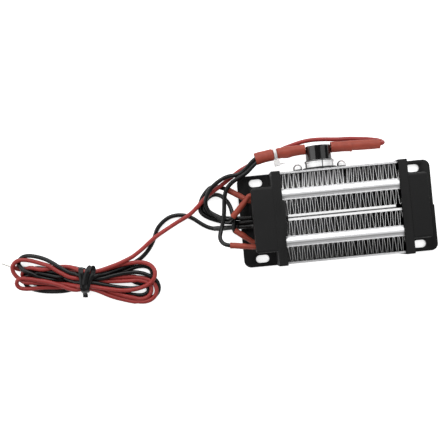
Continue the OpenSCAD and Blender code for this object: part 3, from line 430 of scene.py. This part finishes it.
def twisted_end(name, wire, length):
    """A rod that goes on from a wire's end. Its radius has six soft ridges that wind once round in 4 mm, and
    it is drawn in to a dome at its own end."""
    dome = 0.4
    along = np.concatenate((np.linspace(0, length - dome, 40),
                            length - dome * (1 - np.sin(np.linspace(0.15, 1.5, 7)))))
    shrink = np.sqrt(np.clip(1 - np.clip((along - length + dome) / dome, 0, 1) ** 2, 0.01, 1))
    round_it = whole_turn(36)
    ridge = 1 + 0.07 * np.cos(6 * (round_it[None, :] - 2 * np.pi * along[:, None] / 4))
    r = tip_r * shrink[:, None] * ridge
    way = wire[-1] - wire[-3]
    way = np.array([way[0], way[1], 0]) / np.hypot(way[0], way[1])
    side = np.array([way[1], -way[0], 0])
    grid = (wire[-1] + along[:, None, None] * way + (r * np.cos(round_it))[:, :, None] * -side
            + (r * np.sin(round_it))[:, :, None] * np.array([0, 0, 1.0]))
    return skin(name, grid, solder, lengths=along)


def plain_stuff(name, low, high, scale, rough, relief_mm=0.0, strength=0.5, detail=5, metal=0,
                specular=0.5, clear=0):
    """A finish whose colour wanders between two tones on noise of the given scale, with the same noise as
    its roughness and its relief."""
    finish = Finish(name, {"Metallic": metal, "Specular IOR Level": specular, "Transmission Weight": clear})
    noise = finish.noise(scale, detail)
    relief = finish.bump(noise, strength, relief_mm) if relief_mm else None
    return finish.made(finish.blend(noise, low, high), finish.span(noise, 0, 1, *rough), relief)


solder = plain_stuff("tinned_strands", (0.60, 0.58, 0.54), (0.86, 0.85, 0.83), 1500, (0.25, 0.5),
                     detail=3, metal=1)
for name, wire, length in (("red_lead", red_line, 8), ("black_lead", black_line, 3)):
    tip = twisted_end(name + "_bare_end", wire, length)
    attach(tip, "root")
    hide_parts(name + "_tip")

# Twist tie round the bundle
# A flat black plastic ribbon over a steel wire, wound twice round both leads, its one end bent back
# over them as a loop and the other left as a short tail.


def squarer(wave, power):
    """A sine or cosine with its size raised to a power and its sign kept, which squares a circle."""
    return np.sign(wave) * np.abs(wave) ** power


ribbon_run = [  # along the bundle in mm, across it and up in parts of its own half width and height
    (0.9, -1.5, 0.14), (0.8, -1.3, 0.18), (0.7, -1.13, 0.36), (0.5, -1.02, 0.7), (0.2, -0.8, 0.95),
    (-0.4, -0.4, 1), (-1.1, 0.1, 1), (-1.8, 0.6, 1), (-2.2, 0.93, 0.88), (-2.3, 1.02, 0.55),
    (-2, 0.96, 0.2), (-1.4, 0.75, 0.02), (-0.7, 0.4, 0), (0.1, 0, 0), (0.9, -0.4, 0), (1.5, -0.8, 0.04),
    (1.7, -1, 0.35), (1.9, -0.98, 0.72), (2.3, -0.72, 0.97), (3, -0.3, 1.03), (3.8, 0.15, 1.03),
    (4.7, 0.45, 1.02), (5.2, 0.76, 0.98), (5, 1.06, 0.96), (4.1, 1.22, 0.98), (3, 1.12, 1.04),
    (2.2, 0.82, 1.12), (1.5, 0.42, 1.14), (1.1, 0, 1.14), (1.1, -0.34, 1.12)]
neck = np.concatenate((red_line, black_line))
neck = neck[np.abs((neck[:, :2] - tie_place) @ tie_axis - tie_middle_along) < 3.5]
neck_side = (neck[:, :2] - tie_place) @ tie_side
neck_gap = 0.35
neck_half = (neck_side.max() - neck_side.min() + wire_d / MM) / 2 + neck_gap
neck_middle = (neck_side.max() + neck_side.min()) / 2
neck_top = neck[:, 2].max() + wire_r + neck_gap
table_side = 0.46
ribbon_run = np.array(ribbon_run) * (1, neck_half, neck_top - table_side) + (0, neck_middle, table_side)
ribbon_line = smooth_line(ribbon_run, 0.5)
ribbon_way = unit(np.gradient(ribbon_line, axis=0))
ribbon_face = unit(np.cross(ribbon_way, [1.0, 0, 0]))
ribbon_edge = np.cross(ribbon_face, ribbon_way)
turn = whole_turn(28)
ribbon_half, film_half, wire_rise = 1.45, 0.2, 0.22
across = ribbon_half * squarer(np.cos(turn), 0.7)
depth = (film_half + wire_rise * np.exp(-(across / 0.45) ** 2)) * np.sin(turn)
ribbon = (ribbon_line[:, None] + across[None, :, None] * ribbon_edge[:, None]
          + depth[None, :, None] * ribbon_face[:, None])
flat = tie_place + ribbon[..., :1] * tie_axis + ribbon[..., 1:2] * tie_side
ribbon = np.concatenate((flat, np.maximum(ribbon[..., 2:], 0.02)), axis=-1)
tie_black = plain_stuff("tie_black", (0.0015, 0.0015, 0.0015), (0.007, 0.007, 0.0075), 700, (0.2, 0.45),
                        0.3, strength=0.7, detail=4, specular=0.28)
twist_tie = skin("twist_tie_ribbon", ribbon[:, ::-1], tie_black)
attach(twist_tie, "root")
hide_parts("twist_tie")


# Jumper wires
# Four black wires of the same kind. Two lead from the thermostat's left terminal to the front tabs, and
# two from the splice in the left end cap to the back tabs. Each enters a sleeve over its tab.
tab_bend_x = -51.0
tab_reach = 4.3
tabs = {  # place of the bend in Y and Z, angle seen from the front, fall below the level, sleeve length
    "upper_live": (14.55, 17, 226, 12, 14.6),
    "upper_neutral": (11.95, 9, 147, 6, 13.2),
    "lower_live": (-14.55, 17, 171, 4, 12.8),
    "lower_neutral": (-11.95, 9, 142, 0, 11.8)}


def tab_way(tab):
    """The way a wire leaves its tab: a unit vector at the angle, tipped down by the fall."""
    angle, fall = math.radians(tabs[tab][2]), math.radians(tabs[tab][3])
    return np.array([math.cos(angle) * math.cos(fall), math.sin(angle) * math.cos(fall), -math.sin(fall)])


def from_tab(tab):
    """Three points of a wire inside the sleeve on its tab, the last one just past the sleeve's mouth."""
    y, z, _, _, length = tabs[tab]
    mouth = 1 + length
    reach = np.array([tab_reach, mouth / 2 + 1, mouth + 0.6])[:, None]
    return (np.array([tab_bend_x, y, z]) + reach * tab_way(tab)).tolist()


crimp_x = -26.8
jumper_runs = {
    "lower_live": [
        (crimp_x, 36.75, 13), (-31, 36.35, 13), (-38, 35.4, 13), (-44, 34, 13),
        (-47.1, 31.8, 13.2), (-49.5, 29.7, 13.3), (-52.3, 27.5, 13.2), (-55.2, 26, 12.8),
        (-57.8, 24.8, 12.4), (-60.6, 23, 11.8), (-62.7, 21, 11), (-64.4, 18, 10.5), (-65.4, 14, 10.1),
        (-66, 9, 10.2), (-66.6, 4.5, 10.6), (-67.8, 0, 10.8), (-69.3, -4.4, 11.6),
        (-69.9, -8.2, 13.4), (-68, -11.2, 15.2)] + from_tab("lower_live")[::-1],
    "upper_live": [
        (crimp_x, 39.2, 13), (-31, 38.75, 13), (-38, 37.8, 13), (-43.5, 36.5, 13),
        (-47.2, 34.4, 12.7), (-50.5, 31.3, 12.2), (-53.5, 28.9, 11.6), (-57, 27.5, 11),
        (-60.6, 27.4, 10.3), (-64.5, 26.5, 9.8), (-68.4, 24.5, 9.4), (-72.8, 21, 8.8),
        (-75.6, 16.6, 7.2), (-76.4, 12.2, 5.2), (-74.9, 8.4, 4.6), (-71.2, 5.6, 5.2),
        (-67.2, 3.2, 7.2), (-64, 1.8, 10.6)] + from_tab("upper_live")[::-1],
    "upper_neutral": from_tab("upper_neutral") + [
        (-66, 21.2, 5), (-69, 22.4, 2.6), (-72.4, 22.4, 1.5), (-75.6, 20, 1.2),
        (-78.4, 16.4, 1.1), (-79.9, 12.4, 1.1), (-79.8, 8.8, 1.1), (-77.4, 6, 1.1), (-73.4, 3.8, 1.1),
        (-69.4, 2.2, 1.6), (-65, 1, 3), (-60.6, 0.4, 4.9), (-56.4, 0.1, 6.9),
        (-53, 0.1, 7.9), (-49.6, 0.1, 8), (splice_x, 0.1, 8)],
    "lower_neutral": from_tab("lower_neutral") + [
        (-61.3, -1.6, 9), (-61.2, 2, 8.7), (-61.6, 6, 7.2), (-62.4, 10, 5.6), (-64.6, 14.2, 3.9),
        (-68, 17.2, 2.6), (-71.8, 17.8, 1.7), (-75.2, 16, 1.2), (-77.4, 12.8, 1.1), (-77.2, 9.2, 1.1),
        (-74.6, 6.8, 1.1), (-70.8, 5, 1.2), (-67, 3.8, 2.2), (-63.4, 3.2, 3.9), (-59.6, 2.8, 5.5),
        (-55.6, 2.5, 7.2), (-52.4, 2.4, 8), (-49.4, 2.4, 8), (splice_x, 2.4, 8)]}
for name, run in jumper_runs.items():
    line = laid_line(run, 1.2)
    jumper = tube(name + "_jumper", line, black_jacket)
    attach(jumper, "root")
    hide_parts(name + "_wire")

# Sleeves
# Cut lengths of brick red silicone sleeving pushed over the tabs, the terminals and the fuse. They are
# soft, so each is pressed flat over a tab, drawn in under the tie and a little uneven along its length.


def axes(finish, vector):
    """The vector's X, Y and Z."""
    return finish.add("ShaderNodeSeparateXYZ", {0: vector})


def sleeving(name):
    """Matt silicone over a fine braid: two sets of threads wind round the tube in opposite ways."""
    finish = Finish(name, {"Specular IOR Level": 0.34})
    along_round = axes(finish, finish.uv)
    threads = []
    for way in (1, -1):
        phase = finish.calc("ADD", along_round["Y"], finish.calc("MULTIPLY", along_round["X"], 0.55 * way))
        threads.append(finish.calc("SINE", finish.calc("MULTIPLY", phase, 2 * math.pi * 22)))
    uneven = finish.noise(260, 4)
    woven = finish.bump(finish.calc("MAXIMUM", *threads), 0.2, 0.03)
    return finish.made(finish.blend(uneven, (0.21, 0.032, 0.019), (0.375, 0.066, 0.038)),
                       finish.span(finish.noise(3000, 2), 0, 1, 0.38, 0.58),
                       finish.bump(uneven, 0.5, 0.4, woven))


brick_sleeving = sleeving("brick_sleeving")


def sleeve(name, line, width, height, wall, seed, unevenness=0.02):
    """A hollow tube: an oval carried along the line, out along the outside and back along the inside, with
    slow waves in its size. width and height are one number, or one for each point of the line."""
    tangent, side, up = tube_frames(line)
    s = np.linspace(0, 1, len(line))
    draw = np.random.default_rng(seed)
    turn = whole_turn(40)
    wave = unevenness * sum(
        np.sin(2 * np.pi * (k + 1) * 1.3 * s[:, None] + k * turn[None, :] + draw.uniform(0, 6.28)) / (k + 1)
        for k in range(4))
    half_w, half_h = (np.broadcast_to(size, len(line))[:, None] / 2 for size in (width, height))

    def shell(inset):
        """The oval at each point of the line, smaller by the inset, with the waves in its size."""
        a = (half_w * (1 + wave) - inset) * np.cos(turn)
        b = (half_h * (1 + wave) - inset) * np.sin(turn)
        return line[:, None] + a[..., None] * side[:, None] + b[..., None] * up[:, None]

    grid = np.concatenate((shell(0), shell(wall)[::-1]))
    run = distance_along(line)[-1] * s
    piece = skin(name, grid, brick_sleeving, lengths=np.concatenate((run, run[::-1])), loop=True, crease=50)
    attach(piece, "root")
    return piece


housing_face = -50.2
tab_sleeve_w, tab_sleeve_h, pressed_length = 2.9, 3.85, 4
for seed, (name, (y, z, _, _, length)) in enumerate(tabs.items()):
    bend = np.array([tab_bend_x, y, z])
    steps = np.array([2.4, 4.2, 0.5 + length / 2, 1 + length])[:, None]
    line = smooth_line([(housing_face - 0.1, y, z), (housing_face - 0.6, y, z)]
                       + (bend + steps * tab_way(name)).tolist(), 0.35)
    along = np.linspace(0, 1, len(line)) * (1 + length)
    off_tab = np.clip((along - pressed_length) / 3.5, 0, 1)
    off_tab = off_tab * off_tab * (3 - 2 * off_tab)
    piece = sleeve(name + "_sleeving", line, tab_sleeve_w + 0.55 * off_tab, tab_sleeve_h - 0.35 * off_tab,
                   0.45, seed + 3)
    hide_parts(name + "_sleeve")

core_y = 25.9
core_z = 13.0
terminal_y = core_y + 12.3
thermostat_x = -9.3

# Left of the thermostat: a wide arc that bends back to the heater. It bulges over the crimped terminal,
# widens round the two jumpers and is pinched where the tie holds it.
arc_x, arc_r, arc_turn = -16.7, 150.0, math.radians(11.1)
arc_y = terminal_y - arc_r
tie_at = math.radians(6.6)
bulge_at, widens_at = 10.5, 16
pinched_w, pinched_h = 5.5, 5.0
turn = np.linspace(0, arc_turn, 120)
run = turn * arc_r
line = np.stack([arc_x - arc_r * np.sin(turn), arc_y + arc_r * np.cos(turn), core_z + 0 * turn], 1)
pinch = np.exp(-((turn - tie_at) * arc_r / 1.35) ** 4)
swell = np.exp(-((run - bulge_at) / 2.6) ** 2)
wide = 6.0 + 0.95 / (1 + np.exp((widens_at - run) / 0.8)) + 0.65 * swell
tall = 5.9 + 0.3 * swell
line[:, 1] -= 0.2 * swell
piece = sleeve("thermostat_left_sleeving", line, wide - (wide - pinched_w) * pinch,
               tall - (tall - pinched_h) * pinch, 0.4, 21, unevenness=0.022)
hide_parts("thermostat_left_sleeve")

# Right of the thermostat: short, and wider at the mouth where the long one goes in.
mouth_x = 9.6
sag = np.linspace(0, 1, 50)
line = np.stack([-1.9 + 12 * sag, terminal_y - 0.1 - 0.35 * sag ** 1.5, core_z + 0 * sag], 1)
lip = np.exp(-((line[:, 0] - mouth_x) / 1.1) ** 2)
piece = sleeve("thermostat_right_sleeving", line, 6.1 + 0.35 * lip, 5.9 + 0.35 * lip, 0.38, 34,
               unevenness=0.014)
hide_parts("thermostat_right_sleeve")

# Over the fuse: straight, drooping a little towards the heater, and narrower at its right end.
fuse_x = 10.4
fuse_droop = math.radians(2.6)
reach = np.linspace(-2.4, 16, 70)
line = np.stack([fuse_x + reach * math.cos(fuse_droop), terminal_y - 0.2 - reach * math.sin(fuse_droop),
                 core_z + 0 * reach], 1)
narrow = 0.5 * np.clip((reach - 11) / 4, 0, 1)
piece = sleeve("fuse_sleeving", line, 5.8 - narrow, 5.3 - narrow, 0.4, 55, unevenness=0.012)
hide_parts("fuse_sleeve")

# Fins
# Thin aluminium strip folded into rows of tall narrow V's and brazed to the tubes and side plates. The cut
# front edges are bright, and the faces deep between them are painted dark as shade; each row is toned
# lighter or darker as painted light and shade.


def away(finish, value, centre):
    """How far a value is from the centre, on either side."""
    return finish.calc("ABSOLUTE", finish.calc("SUBTRACT", value, centre))


def grey(finish, value):
    """The colour whose three parts are the value."""
    return finish.add("ShaderNodeCombineColor", {0: value, 1: value, 2: value})[0]


def fin_metal(name, tone, grazing, lit=0, metal=1):
    """Sheet that is bright within a millimetre of its front and back edges and painted dark between them, as
    shade deep between the folds. tone scales its colour, as painted light or shade for each row, grazing
    tints what it reflects along its faces, and lit paints light over its left half, bright through its whole
    depth.
    The attribute shade darkens the outer crests, which lie in a side plate's shadow."""
    finish = Finish(name, {"Metallic": metal, "Specular Tint": (grazing, grazing, grazing, 1)})
    rolled = finish.noise((900.0, 900.0, 90.0), 3.0)
    patches = finish.calc("MULTIPLY", rolled, finish.noise(240, 2))
    place = axes(finish, finish.place)
    # Painted light over the left half of the top row, bright through its whole depth.
    lit = finish.span(place["X"], 10 * MM, -10 * MM, 0, lit, smooth=True)
    from_middle = finish.calc("MULTIPLY_ADD", lit, core_z * MM, away(finish, place["Z"], core_z * MM))
    edge = finish.span(from_middle, 10.3 * MM, 11 * MM, smooth=True)
    # Painted shade: the faces deep between the folds are nearly black.
    deep_painted_shade = finish.span(patches, 0.12, 0.4, 0.008, 0.03)
    bright = finish.calc("MULTIPLY_ADD", lit, 0.3, finish.span(patches, 0.12, 0.4, 0.72, 0.97), clamp=True)
    tint = finish.add("ShaderNodeMix", {"Factor": edge, "A": deep_painted_shade, "B": bright})[0]
    shade = finish.add("ShaderNodeAttribute", attribute_name="shade")["Fac"]
    tint = finish.add("ShaderNodeMix", {"Factor": shade, "A": tint, "B": 0.12})[0]
    return finish.made(grey(finish, finish.calc("MULTIPLY", tint, tone)),
                       finish.calc("MULTIPLY_ADD", edge, 0.35, finish.span(rolled, 0, 1, 0.2, 0.4)),
                       finish.bump(rolled, 0.3, 0.08))


core_x = 36.2
core_back, core_front = 2, 24
fin_h = 8.5
fin_count = 51
fin_step = 2 * core_x / fin_count
fin_r = 0.55
fin_t = 0.22
bend_r = fin_r - fin_t / 2
crest_points = 7
rise = fin_h - 2 * fin_r
end_leg_in, end_leg_down = 0.13, 0.15
inner_row_y, outer_row_y = 1.7, 16.3
screw_reach, parted = 12.6, 1.05
leg_lean = math.atan2(rise, fin_step) + math.asin(2 * bend_r / math.hypot(fin_step, rise))


def folded_row(name, low_y, side, seed, material, screws=()):
    """The middle of the sheet goes round a small arc at each crest, alternately low and high, and straight
    from one arc to the next, and a last straight leg stands at either end. Each crest is a little out of
    place, front and back by different amounts, and the folds at a screw are parted by a step that fades
    away from it and down the row."""
    draw = np.random.default_rng(seed)
    number = np.arange(fin_count)[:, None]
    bent = np.linspace(-leg_lean, leg_lean, crest_points)[None, :]
    facing = np.where(number % 2 == 0, 1.0, -1.0)
    crest_x = -core_x + (number + 0.5) * fin_step
    for screw in screws:
        nearest = crest_x[1::2][np.argmin(np.abs(crest_x[1::2] - screw))]
        crest_x = crest_x + (screw - nearest) * np.exp(-((crest_x - nearest) / 6) ** 2)
    x = (crest_x + bend_r * np.sin(bent)).reshape(-1)
    y = (np.where(facing > 0, fin_r, fin_h - fin_r) - facing * bend_r * np.cos(bent)).reshape(-1)
    normal = np.stack([(facing * np.sin(bent)).reshape(-1), -np.cos(bent + 0 * facing).reshape(-1)], -1)
    for screw in screws:
        past = x - screw
        x = x + parted * np.tanh(past / 0.3) * np.exp(-(past / 4) ** 2) * np.clip(y / fin_h * 2 - 1, 0, 1)
    x = np.concatenate(([end_leg_in - core_x], x, [core_x - end_leg_in]))
    y = np.concatenate(([fin_h - end_leg_down], y, [fin_h - end_leg_down]))
    normal = np.concatenate((normal[:1], normal, normal[-1:]))
    inside = np.clip(number.reshape(-1) * (fin_count - 1 - number.reshape(-1)) / 40, 0, 1)
    shift = np.pad(np.repeat(draw.normal(0, 0.07, fin_count) * inside, crest_points), 1)
    skew = np.pad(np.repeat(draw.normal(0, 0.11, fin_count) * inside, crest_points), 1)
    depth = np.linspace(core_back, core_front, 6)
    depth = np.concatenate((depth, depth[::-1]))[None, :]
    half = np.repeat([1.0, -1.0], 6)[None, :] * fin_t / 2
    grid = np.stack([(x + shift)[:, None] + normal[:, :1] * half + skew[:, None] * (depth - core_z) / 11,
                     side * (low_y + y[:, None] + normal[:, 1:] * half),
                     depth + 0 * x[:, None]], -1)
    row = skin(name + "_folded", grid if side < 0 else grid[:, ::-1], material)
    shade = np.clip((y - fin_h + 0.7) / 0.4, 0, 1)[:, None] * (low_y == outer_row_y) + 0 * depth
    shade_field = row.data.attributes.new("shade", "FLOAT", "POINT")
    shade_field.data.foreach_set("value", shade.reshape(-1).astype(np.float32))
    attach(row, "root")
    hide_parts(name)


# Lit and shaded copies of one sheet, as painted light and shade: 1.0 at the top, 0.88 inside, 0.7 at the
# bottom.
inner_sheet = fin_metal("inner_fin_sheet", 0.88, 0.15)
folded_row("top_fin_row", outer_row_y, 1, 5, fin_metal("top_fin_sheet", 1.0, 0.6, lit=1, metal=0.4),
           (thermostat_x - screw_reach, thermostat_x + screw_reach))
folded_row("upper_inner_fin_row", inner_row_y, 1, 6, inner_sheet)
folded_row("lower_inner_fin_row", inner_row_y, -1, 7, inner_sheet)
folded_row("bottom_fin_row", outer_row_y, -1, 8, fin_metal("bottom_fin_sheet", 0.7, 0.12))

# Heating tubes, middle strips and side plates
# Extruded aluminium tubes with a rounded nose over the fins, and plain strips and plates beside them, all
# with the fine lines that drawing and rolling leave along their length.


def drawn_metal(name, tone, roughness, metal=1, painted_shade_lines=()):
    """Aluminium with fine lines along X, and thin dark lines of painted shade, each at a Y in millimetres,
    given in the last argument.
    """
    finish = Finish(name, {"Metallic": metal})
    lines = finish.noise((25.0, 2500.0, 2500.0), 3.0)
    tint = finish.blend(finish.noise(120, 3), [c * 0.93 for c in tone], [c * 1.05 for c in tone])
    across = axes(finish, finish.place)["Y"]
    # Painted shade: each line darkens the colour along X at its Y.
    for painted_shade_line in painted_shade_lines:
        dark = finish.span(away(finish, across, painted_shade_line * MM), 0.1 * MM, 0.7 * MM, 0.6, 0.0, smooth=True)
        tint = finish.blend(dark, tint, (0.2, 0.2, 0.2))
    return finish.made(tint, finish.span(lines, 0, 1, roughness - 0.06, roughness + 0.1),
                       finish.bump(lines, 0.25, 0.04))


def dress(material, *names):
    """Gives carried-over solids their finish."""
    for name in names:
        nodes[name].data.materials.clear()
        nodes[name].data.materials.append(material)


# Painted shade: a thin dark line along each heating tube, at Y 12.2 and -14.3 mm.
tube_metal = drawn_metal("tube_metal", (0.88, 0.88, 0.89), 0.42, metal=0.75, painted_shade_lines=(12.2, -14.3))
plate_metal = drawn_metal("plate_metal", (0.88, 0.88, 0.89), 0.36)
dress(tube_metal, "upper_heating_tube", "lower_heating_tube")
dress(plate_metal, "upper_side_plate", "lower_side_plate")


def stand_in(node, ending, mesh, material):
    """Shows a mesh in place of a carried-over solid, smooth but for its edges over 35 degrees."""
    mesh.shade_smooth()
    mesh.set_sharp_from_angle(angle=math.radians(35))
    mesh.materials.clear()
    mesh.materials.append(material)
    piece = placed(node + ending, mesh)
    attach(piece, "root")
    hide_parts(node)
    return piece


def reshaped(node, material, before, after):
    """A copy of a solid's mesh with other measures in Y: millimetres in the first list go to those in the
    second, with those between in proportion and those past the ends shifted along."""
    mesh = nodes[node].data.copy()
    points = np.empty(3 * len(mesh.vertices), np.float32)
    mesh.vertices.foreach_get("co", points)
    x, y, z = points.reshape(-1, 3).T / MM
    y = np.interp(y, before, after) + np.minimum(y - before[0], 0) + np.maximum(y - before[-1], 0)
    mesh.vertices.foreach_set("co", (np.stack([x, y, z], 1) * MM).astype(np.float32).reshape(-1))
    mesh.update()
    stand_in(node, "_reshaped", mesh, material)


strip_metal = drawn_metal("strip_metal", (0.93, 0.93, 0.93), 0.5, metal=0.3)
reshaped("upper_centre_strip", strip_metal, (1.0, 1.7), (0.42, 1.7))
reshaped("lower_centre_strip", strip_metal, (-1.7, -1.0), (-1.7, -0.42))

# Middle spacer
# A strip of grey silicone between the two bright strips, which takes up their expansion.
grey_silicone = plain_stuff("grey_silicone", (0.15, 0.15, 0.15), (0.26, 0.26, 0.26), 900, (0.6, 0.8),
                            0.05)
reshaped("centre_spacer", grey_silicone, (-1.0, 1.0), (-0.4, 0.4))

# Heating chips, electrodes and film inside the tubes
# Grey ceramic chips with a silvered face, brass electrode sheets whose tabs leave the cap, and an amber
# film wound round the stack.
ceramic = plain_stuff("grey_ceramic", (0.22, 0.20, 0.18), (0.36, 0.33, 0.30), 1400, (0.6, 0.85), 0.03)
sheet_brass = plain_stuff("sheet_brass", (0.62, 0.48, 0.24), (0.80, 0.65, 0.36), 500, (0.28, 0.45), 0.01,
                          metal=1)
amber_film = plain_stuff("amber_film", (0.50, 0.22, 0.03), (0.62, 0.30, 0.06), 600, (0.15, 0.3), 0.01)
for side in ("upper", "lower"):
    dress(ceramic, side + "_heating_chips")
    dress(amber_film, side + "_insulating_film")
    dress(sheet_brass, side + "_live_electrode", side + "_neutral_electrode")

# End caps
# Black glass-filled plastic, moulded with small radii along its edges and a fine spark-eroded grain, with
# painted light that makes it a little paler towards the front and painted shade low down by the table. The
# splice of the neutral wires lies inside the left one.


def moulded_black(name):
    """Almost black, paler towards the front as painted light and darker low down as painted shade, with slow
    clouds in its tone and gloss and a fine grain.
    """
    finish = Finish(name, {"Specular IOR Level": 0.24})
    cloud = finish.noise(45, 4)
    # Painted light and shade: paler high towards the front, darker low down by the table.
    painted_light_to_front = finish.span(axes(finish, finish.place)["Z"], 3 * MM, 24 * MM, -0.35, 0.25)
    return finish.made(
        finish.blend(finish.calc("ADD", painted_light_to_front, cloud, clamp=True), (0.001, 0.001, 0.0011),
                     (0.0075, 0.0075, 0.0077)),
        finish.span(cloud, 0.3, 0.7, 0.48, 0.62), finish.bump(finish.noise(4200, 2), 0.35, 0.06))


def eased(node, width, material):
    """A copy of a solid whose real edges are slightly round: its mesh is merged, and every edge sharper
    than 35 degrees is rounded over the width."""
    mesh = nodes[node].data.copy()
    mesh.name = node + "_eased"
    piece = stand_in(node, "_eased", mesh, material)
    for name, kind, settings in (
            ("weld", "WELD", {"merge_threshold": 1e-6}),
            ("planar", "DECIMATE", {"decimate_type": "DISSOLVE", "angle_limit": math.radians(1)}),
            ("bevel", "BEVEL", {"width": width * MM, "segments": 2, "limit_method": "ANGLE",
                                "angle_limit": math.radians(35)})):
        modifier = piece.modifiers.new(name, kind)
        for field, value in settings.items():
            setattr(modifier, field, value)


cap_black = moulded_black("cap_black")
cap_edge_r = 0.25
eased("left_end_cap", cap_edge_r, cap_black)
eased("right_end_cap", cap_edge_r, cap_black)
dress(solder, "neutral_splice")

# Thermostat
# A drawn aluminium cap crimped round a black phenolic body, with a bimetal disc under the cap and a
# ceramic pin to the contact arm. A loose aluminium ring with two ears holds it down with two screws.


def crimped_metal(name, bright, metal, turned, lines, dark_line_x=None):
    """Bright drawn metal with painted reflections: dark where its surface turns away from straight up, and
    along thin dark lines. Each line is a height over the side plate and half a width, in millimetres; one
    more line, where given, stands at an X."""
    finish = Finish(name, {"Metallic": metal})
    noise = finish.noise(450, 3)
    # Painted reflection: dark where the surface turns away from straight up, round rims and dome edges.
    painted_reflection_mask = finish.span(axes(finish, finish.facing)["Z"], *turned, smooth=True)
    place = axes(finish, finish.place)
    # Painted reflection: a thin dark line at each height given, and one at an X where that is given.
    painted_dark_lines = [("Y", core_y + height, half) for height, half in lines]
    if dark_line_x is not None:
        painted_dark_lines.append(("X", dark_line_x, 0.3))
    for axis, at, half in painted_dark_lines:
        clear = finish.span(away(finish, place[axis], at * MM), half * 0.5 * MM, half * 1.5 * MM, smooth=True)
        painted_reflection_mask = finish.calc("MULTIPLY", painted_reflection_mask, clear)
    tone = finish.span(finish.calc("MULTIPLY_ADD", painted_reflection_mask, noise, 0.25), 0.3, 0.55, 0.03, bright)
    return finish.made(grey(finish, tone), finish.span(noise, 0, 1, 0.25, 0.45))


cap_foot, cap_top, cap_shown = core_y + 0.6, core_y + 6.3, core_y + 5.3
# The cap and ring: painted dark reflections along the foot, the crimp and down the middle.
drawn_cap = crimped_metal("drawn_cap", 0.97, 0.15, (0.3, 0.5), ((0.85, 0.6), (4.95, 0.3)),
                          thermostat_x + 0.9)
reshaped("thermostat_cap", drawn_cap, (cap_foot, cap_top), (cap_foot, cap_shown))
dress(drawn_cap, "thermostat_ring")
phenolic = plain_stuff("black_phenolic", (0.002, 0.002, 0.0022), (0.006, 0.006, 0.0064), 700, (0.1, 0.2),
                       0.006, specular=0.75)
body_rim, body_top, body_shown = core_y + 12.9, core_y + 13.6, core_y + 13.75
reshaped("thermostat_body", phenolic, (body_rim, body_top), (body_rim, body_shown))
# The screws: a painted dark reflection round each head's edge and along its foot.
screw_steel = crimped_metal("screw_steel", 0.9, 0.3, (0.5, 0.8), ((0.85, 0.3),))
head_foot, head_top, head_shown = core_y + 0.7, core_y + 3.2, core_y + 4.2
reshaped("bracket_screws", screw_steel, (head_foot, head_top), (head_foot, head_shown))
dress(plain_stuff("bimetal", (0.42, 0.36, 0.27), (0.56, 0.50, 0.40), 400, (0.3, 0.45), 0.01, metal=1),
      "bimetal_disc")
dress(plain_stuff("white_ceramic", (0.78, 0.76, 0.70), (0.86, 0.84, 0.80), 900, (0.5, 0.7), 0.01),
      "push_pin")
dress(plain_stuff("tinned_brass", (0.34, 0.32, 0.28), (0.46, 0.43, 0.38), 500, (0.35, 0.5), 0.01,
                  metal=1), "thermostat_left_terminal", "thermostat_right_terminal")
dress(solder, "thermal_fuse")
dress(plain_stuff("black_sleeving", (0.012, 0.012, 0.012), (0.030, 0.030, 0.031), 800, (0.35, 0.5), 0.03),
      "black_lead_sleeve")

# Cable tie
# Translucent nylon, drawn tight into the left sleeve round the red lead behind it. The square head sits
# on the heater's side of the sleeve, and the cut tail stands out of it.
tie_middle = np.array([arc_x - arc_r * math.sin(tie_at), arc_y + arc_r * math.cos(tie_at), core_z])
tie_along = np.array([-math.cos(tie_at), -math.sin(tie_at), 0.0])
tie_across = np.array([-math.sin(tie_at), math.cos(tie_at), 0.0])
rings = np.array([[0.05, 0.0, 2.98], [1.3, -4.25, 1.45]])  # sleeve and lead: across, up and radius


def at_tie(along, across, up):
    """Points so far along the sleeve, across it and up from the tie's middle."""
    return (tie_middle + along[..., None] * tie_along + across[..., None] * tie_across
            + up[..., None] * np.array([0, 0, 1.0]))


def tight_belt(name, width, thick):
    """The outline of a belt round two circles: in each direction it touches the circle that reaches
    furthest that way. A rounded oblong of the width and thickness is carried round it."""
    heading = whole_turn(120)
    out = np.stack([np.cos(heading), np.sin(heading)], -1)
    furthest = np.argmax(out @ rings[:, :2].T + rings[:, 2], axis=1)
    outline = rings[furthest, :2] + rings[furthest, 2:] * out
    turn = whole_turn(20)
    beside = width / 2 * squarer(np.cos(turn), 0.35)
    outward = thick / 2 * squarer(np.sin(turn), 0.35)
    flat = outline[:, None] + outward[None, :, None] * out[:, None]
    return skin(name, at_tie(beside[None, :], flat[..., 0], flat[..., 1]), nylon, loop=True)


def soft_block(name, centre, size):
    """A superellipsoid: cosines and sines of its two angles, raised to a small power, give a block with
    flat faces and softly rounded edges. The three sizes run along the sleeve, across it and upwards."""
    power = 0.22
    turn = whole_turn(40)[None, :]
    climb = np.linspace(-np.pi / 2, np.pi / 2, 30)[:, None]
    waist = np.abs(np.cos(climb)) ** power
    a = size[0] / 2 * waist * squarer(np.cos(turn), power)
    b = size[1] / 2 * waist * squarer(np.sin(turn), power)
    c = size[2] / 2 * squarer(np.sin(climb), power) + 0 * turn
    return skin(name, at_tie(-(centre[0] + a), centre[1] + b, centre[2] + c), nylon, crease=60)


nylon = plain_stuff("clear_nylon", (0.80, 0.79, 0.78), (0.90, 0.89, 0.88), 800, (0.25, 0.45), 0.06,
                    strength=0.3, detail=3, clear=0.45)
tie_pieces = [tight_belt("cable_tie_belt", 1.7, 0.5),
              soft_block("cable_tie_head", (0, -5.15, 0), (3.2, 3.6, 4.2)),
              soft_block("cable_tie_tail", (2.9, -6.1, 0), (3.2, 0.7, 2.0))]
for piece in tie_pieces:
    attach(piece, "root")
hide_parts("cable_tie")
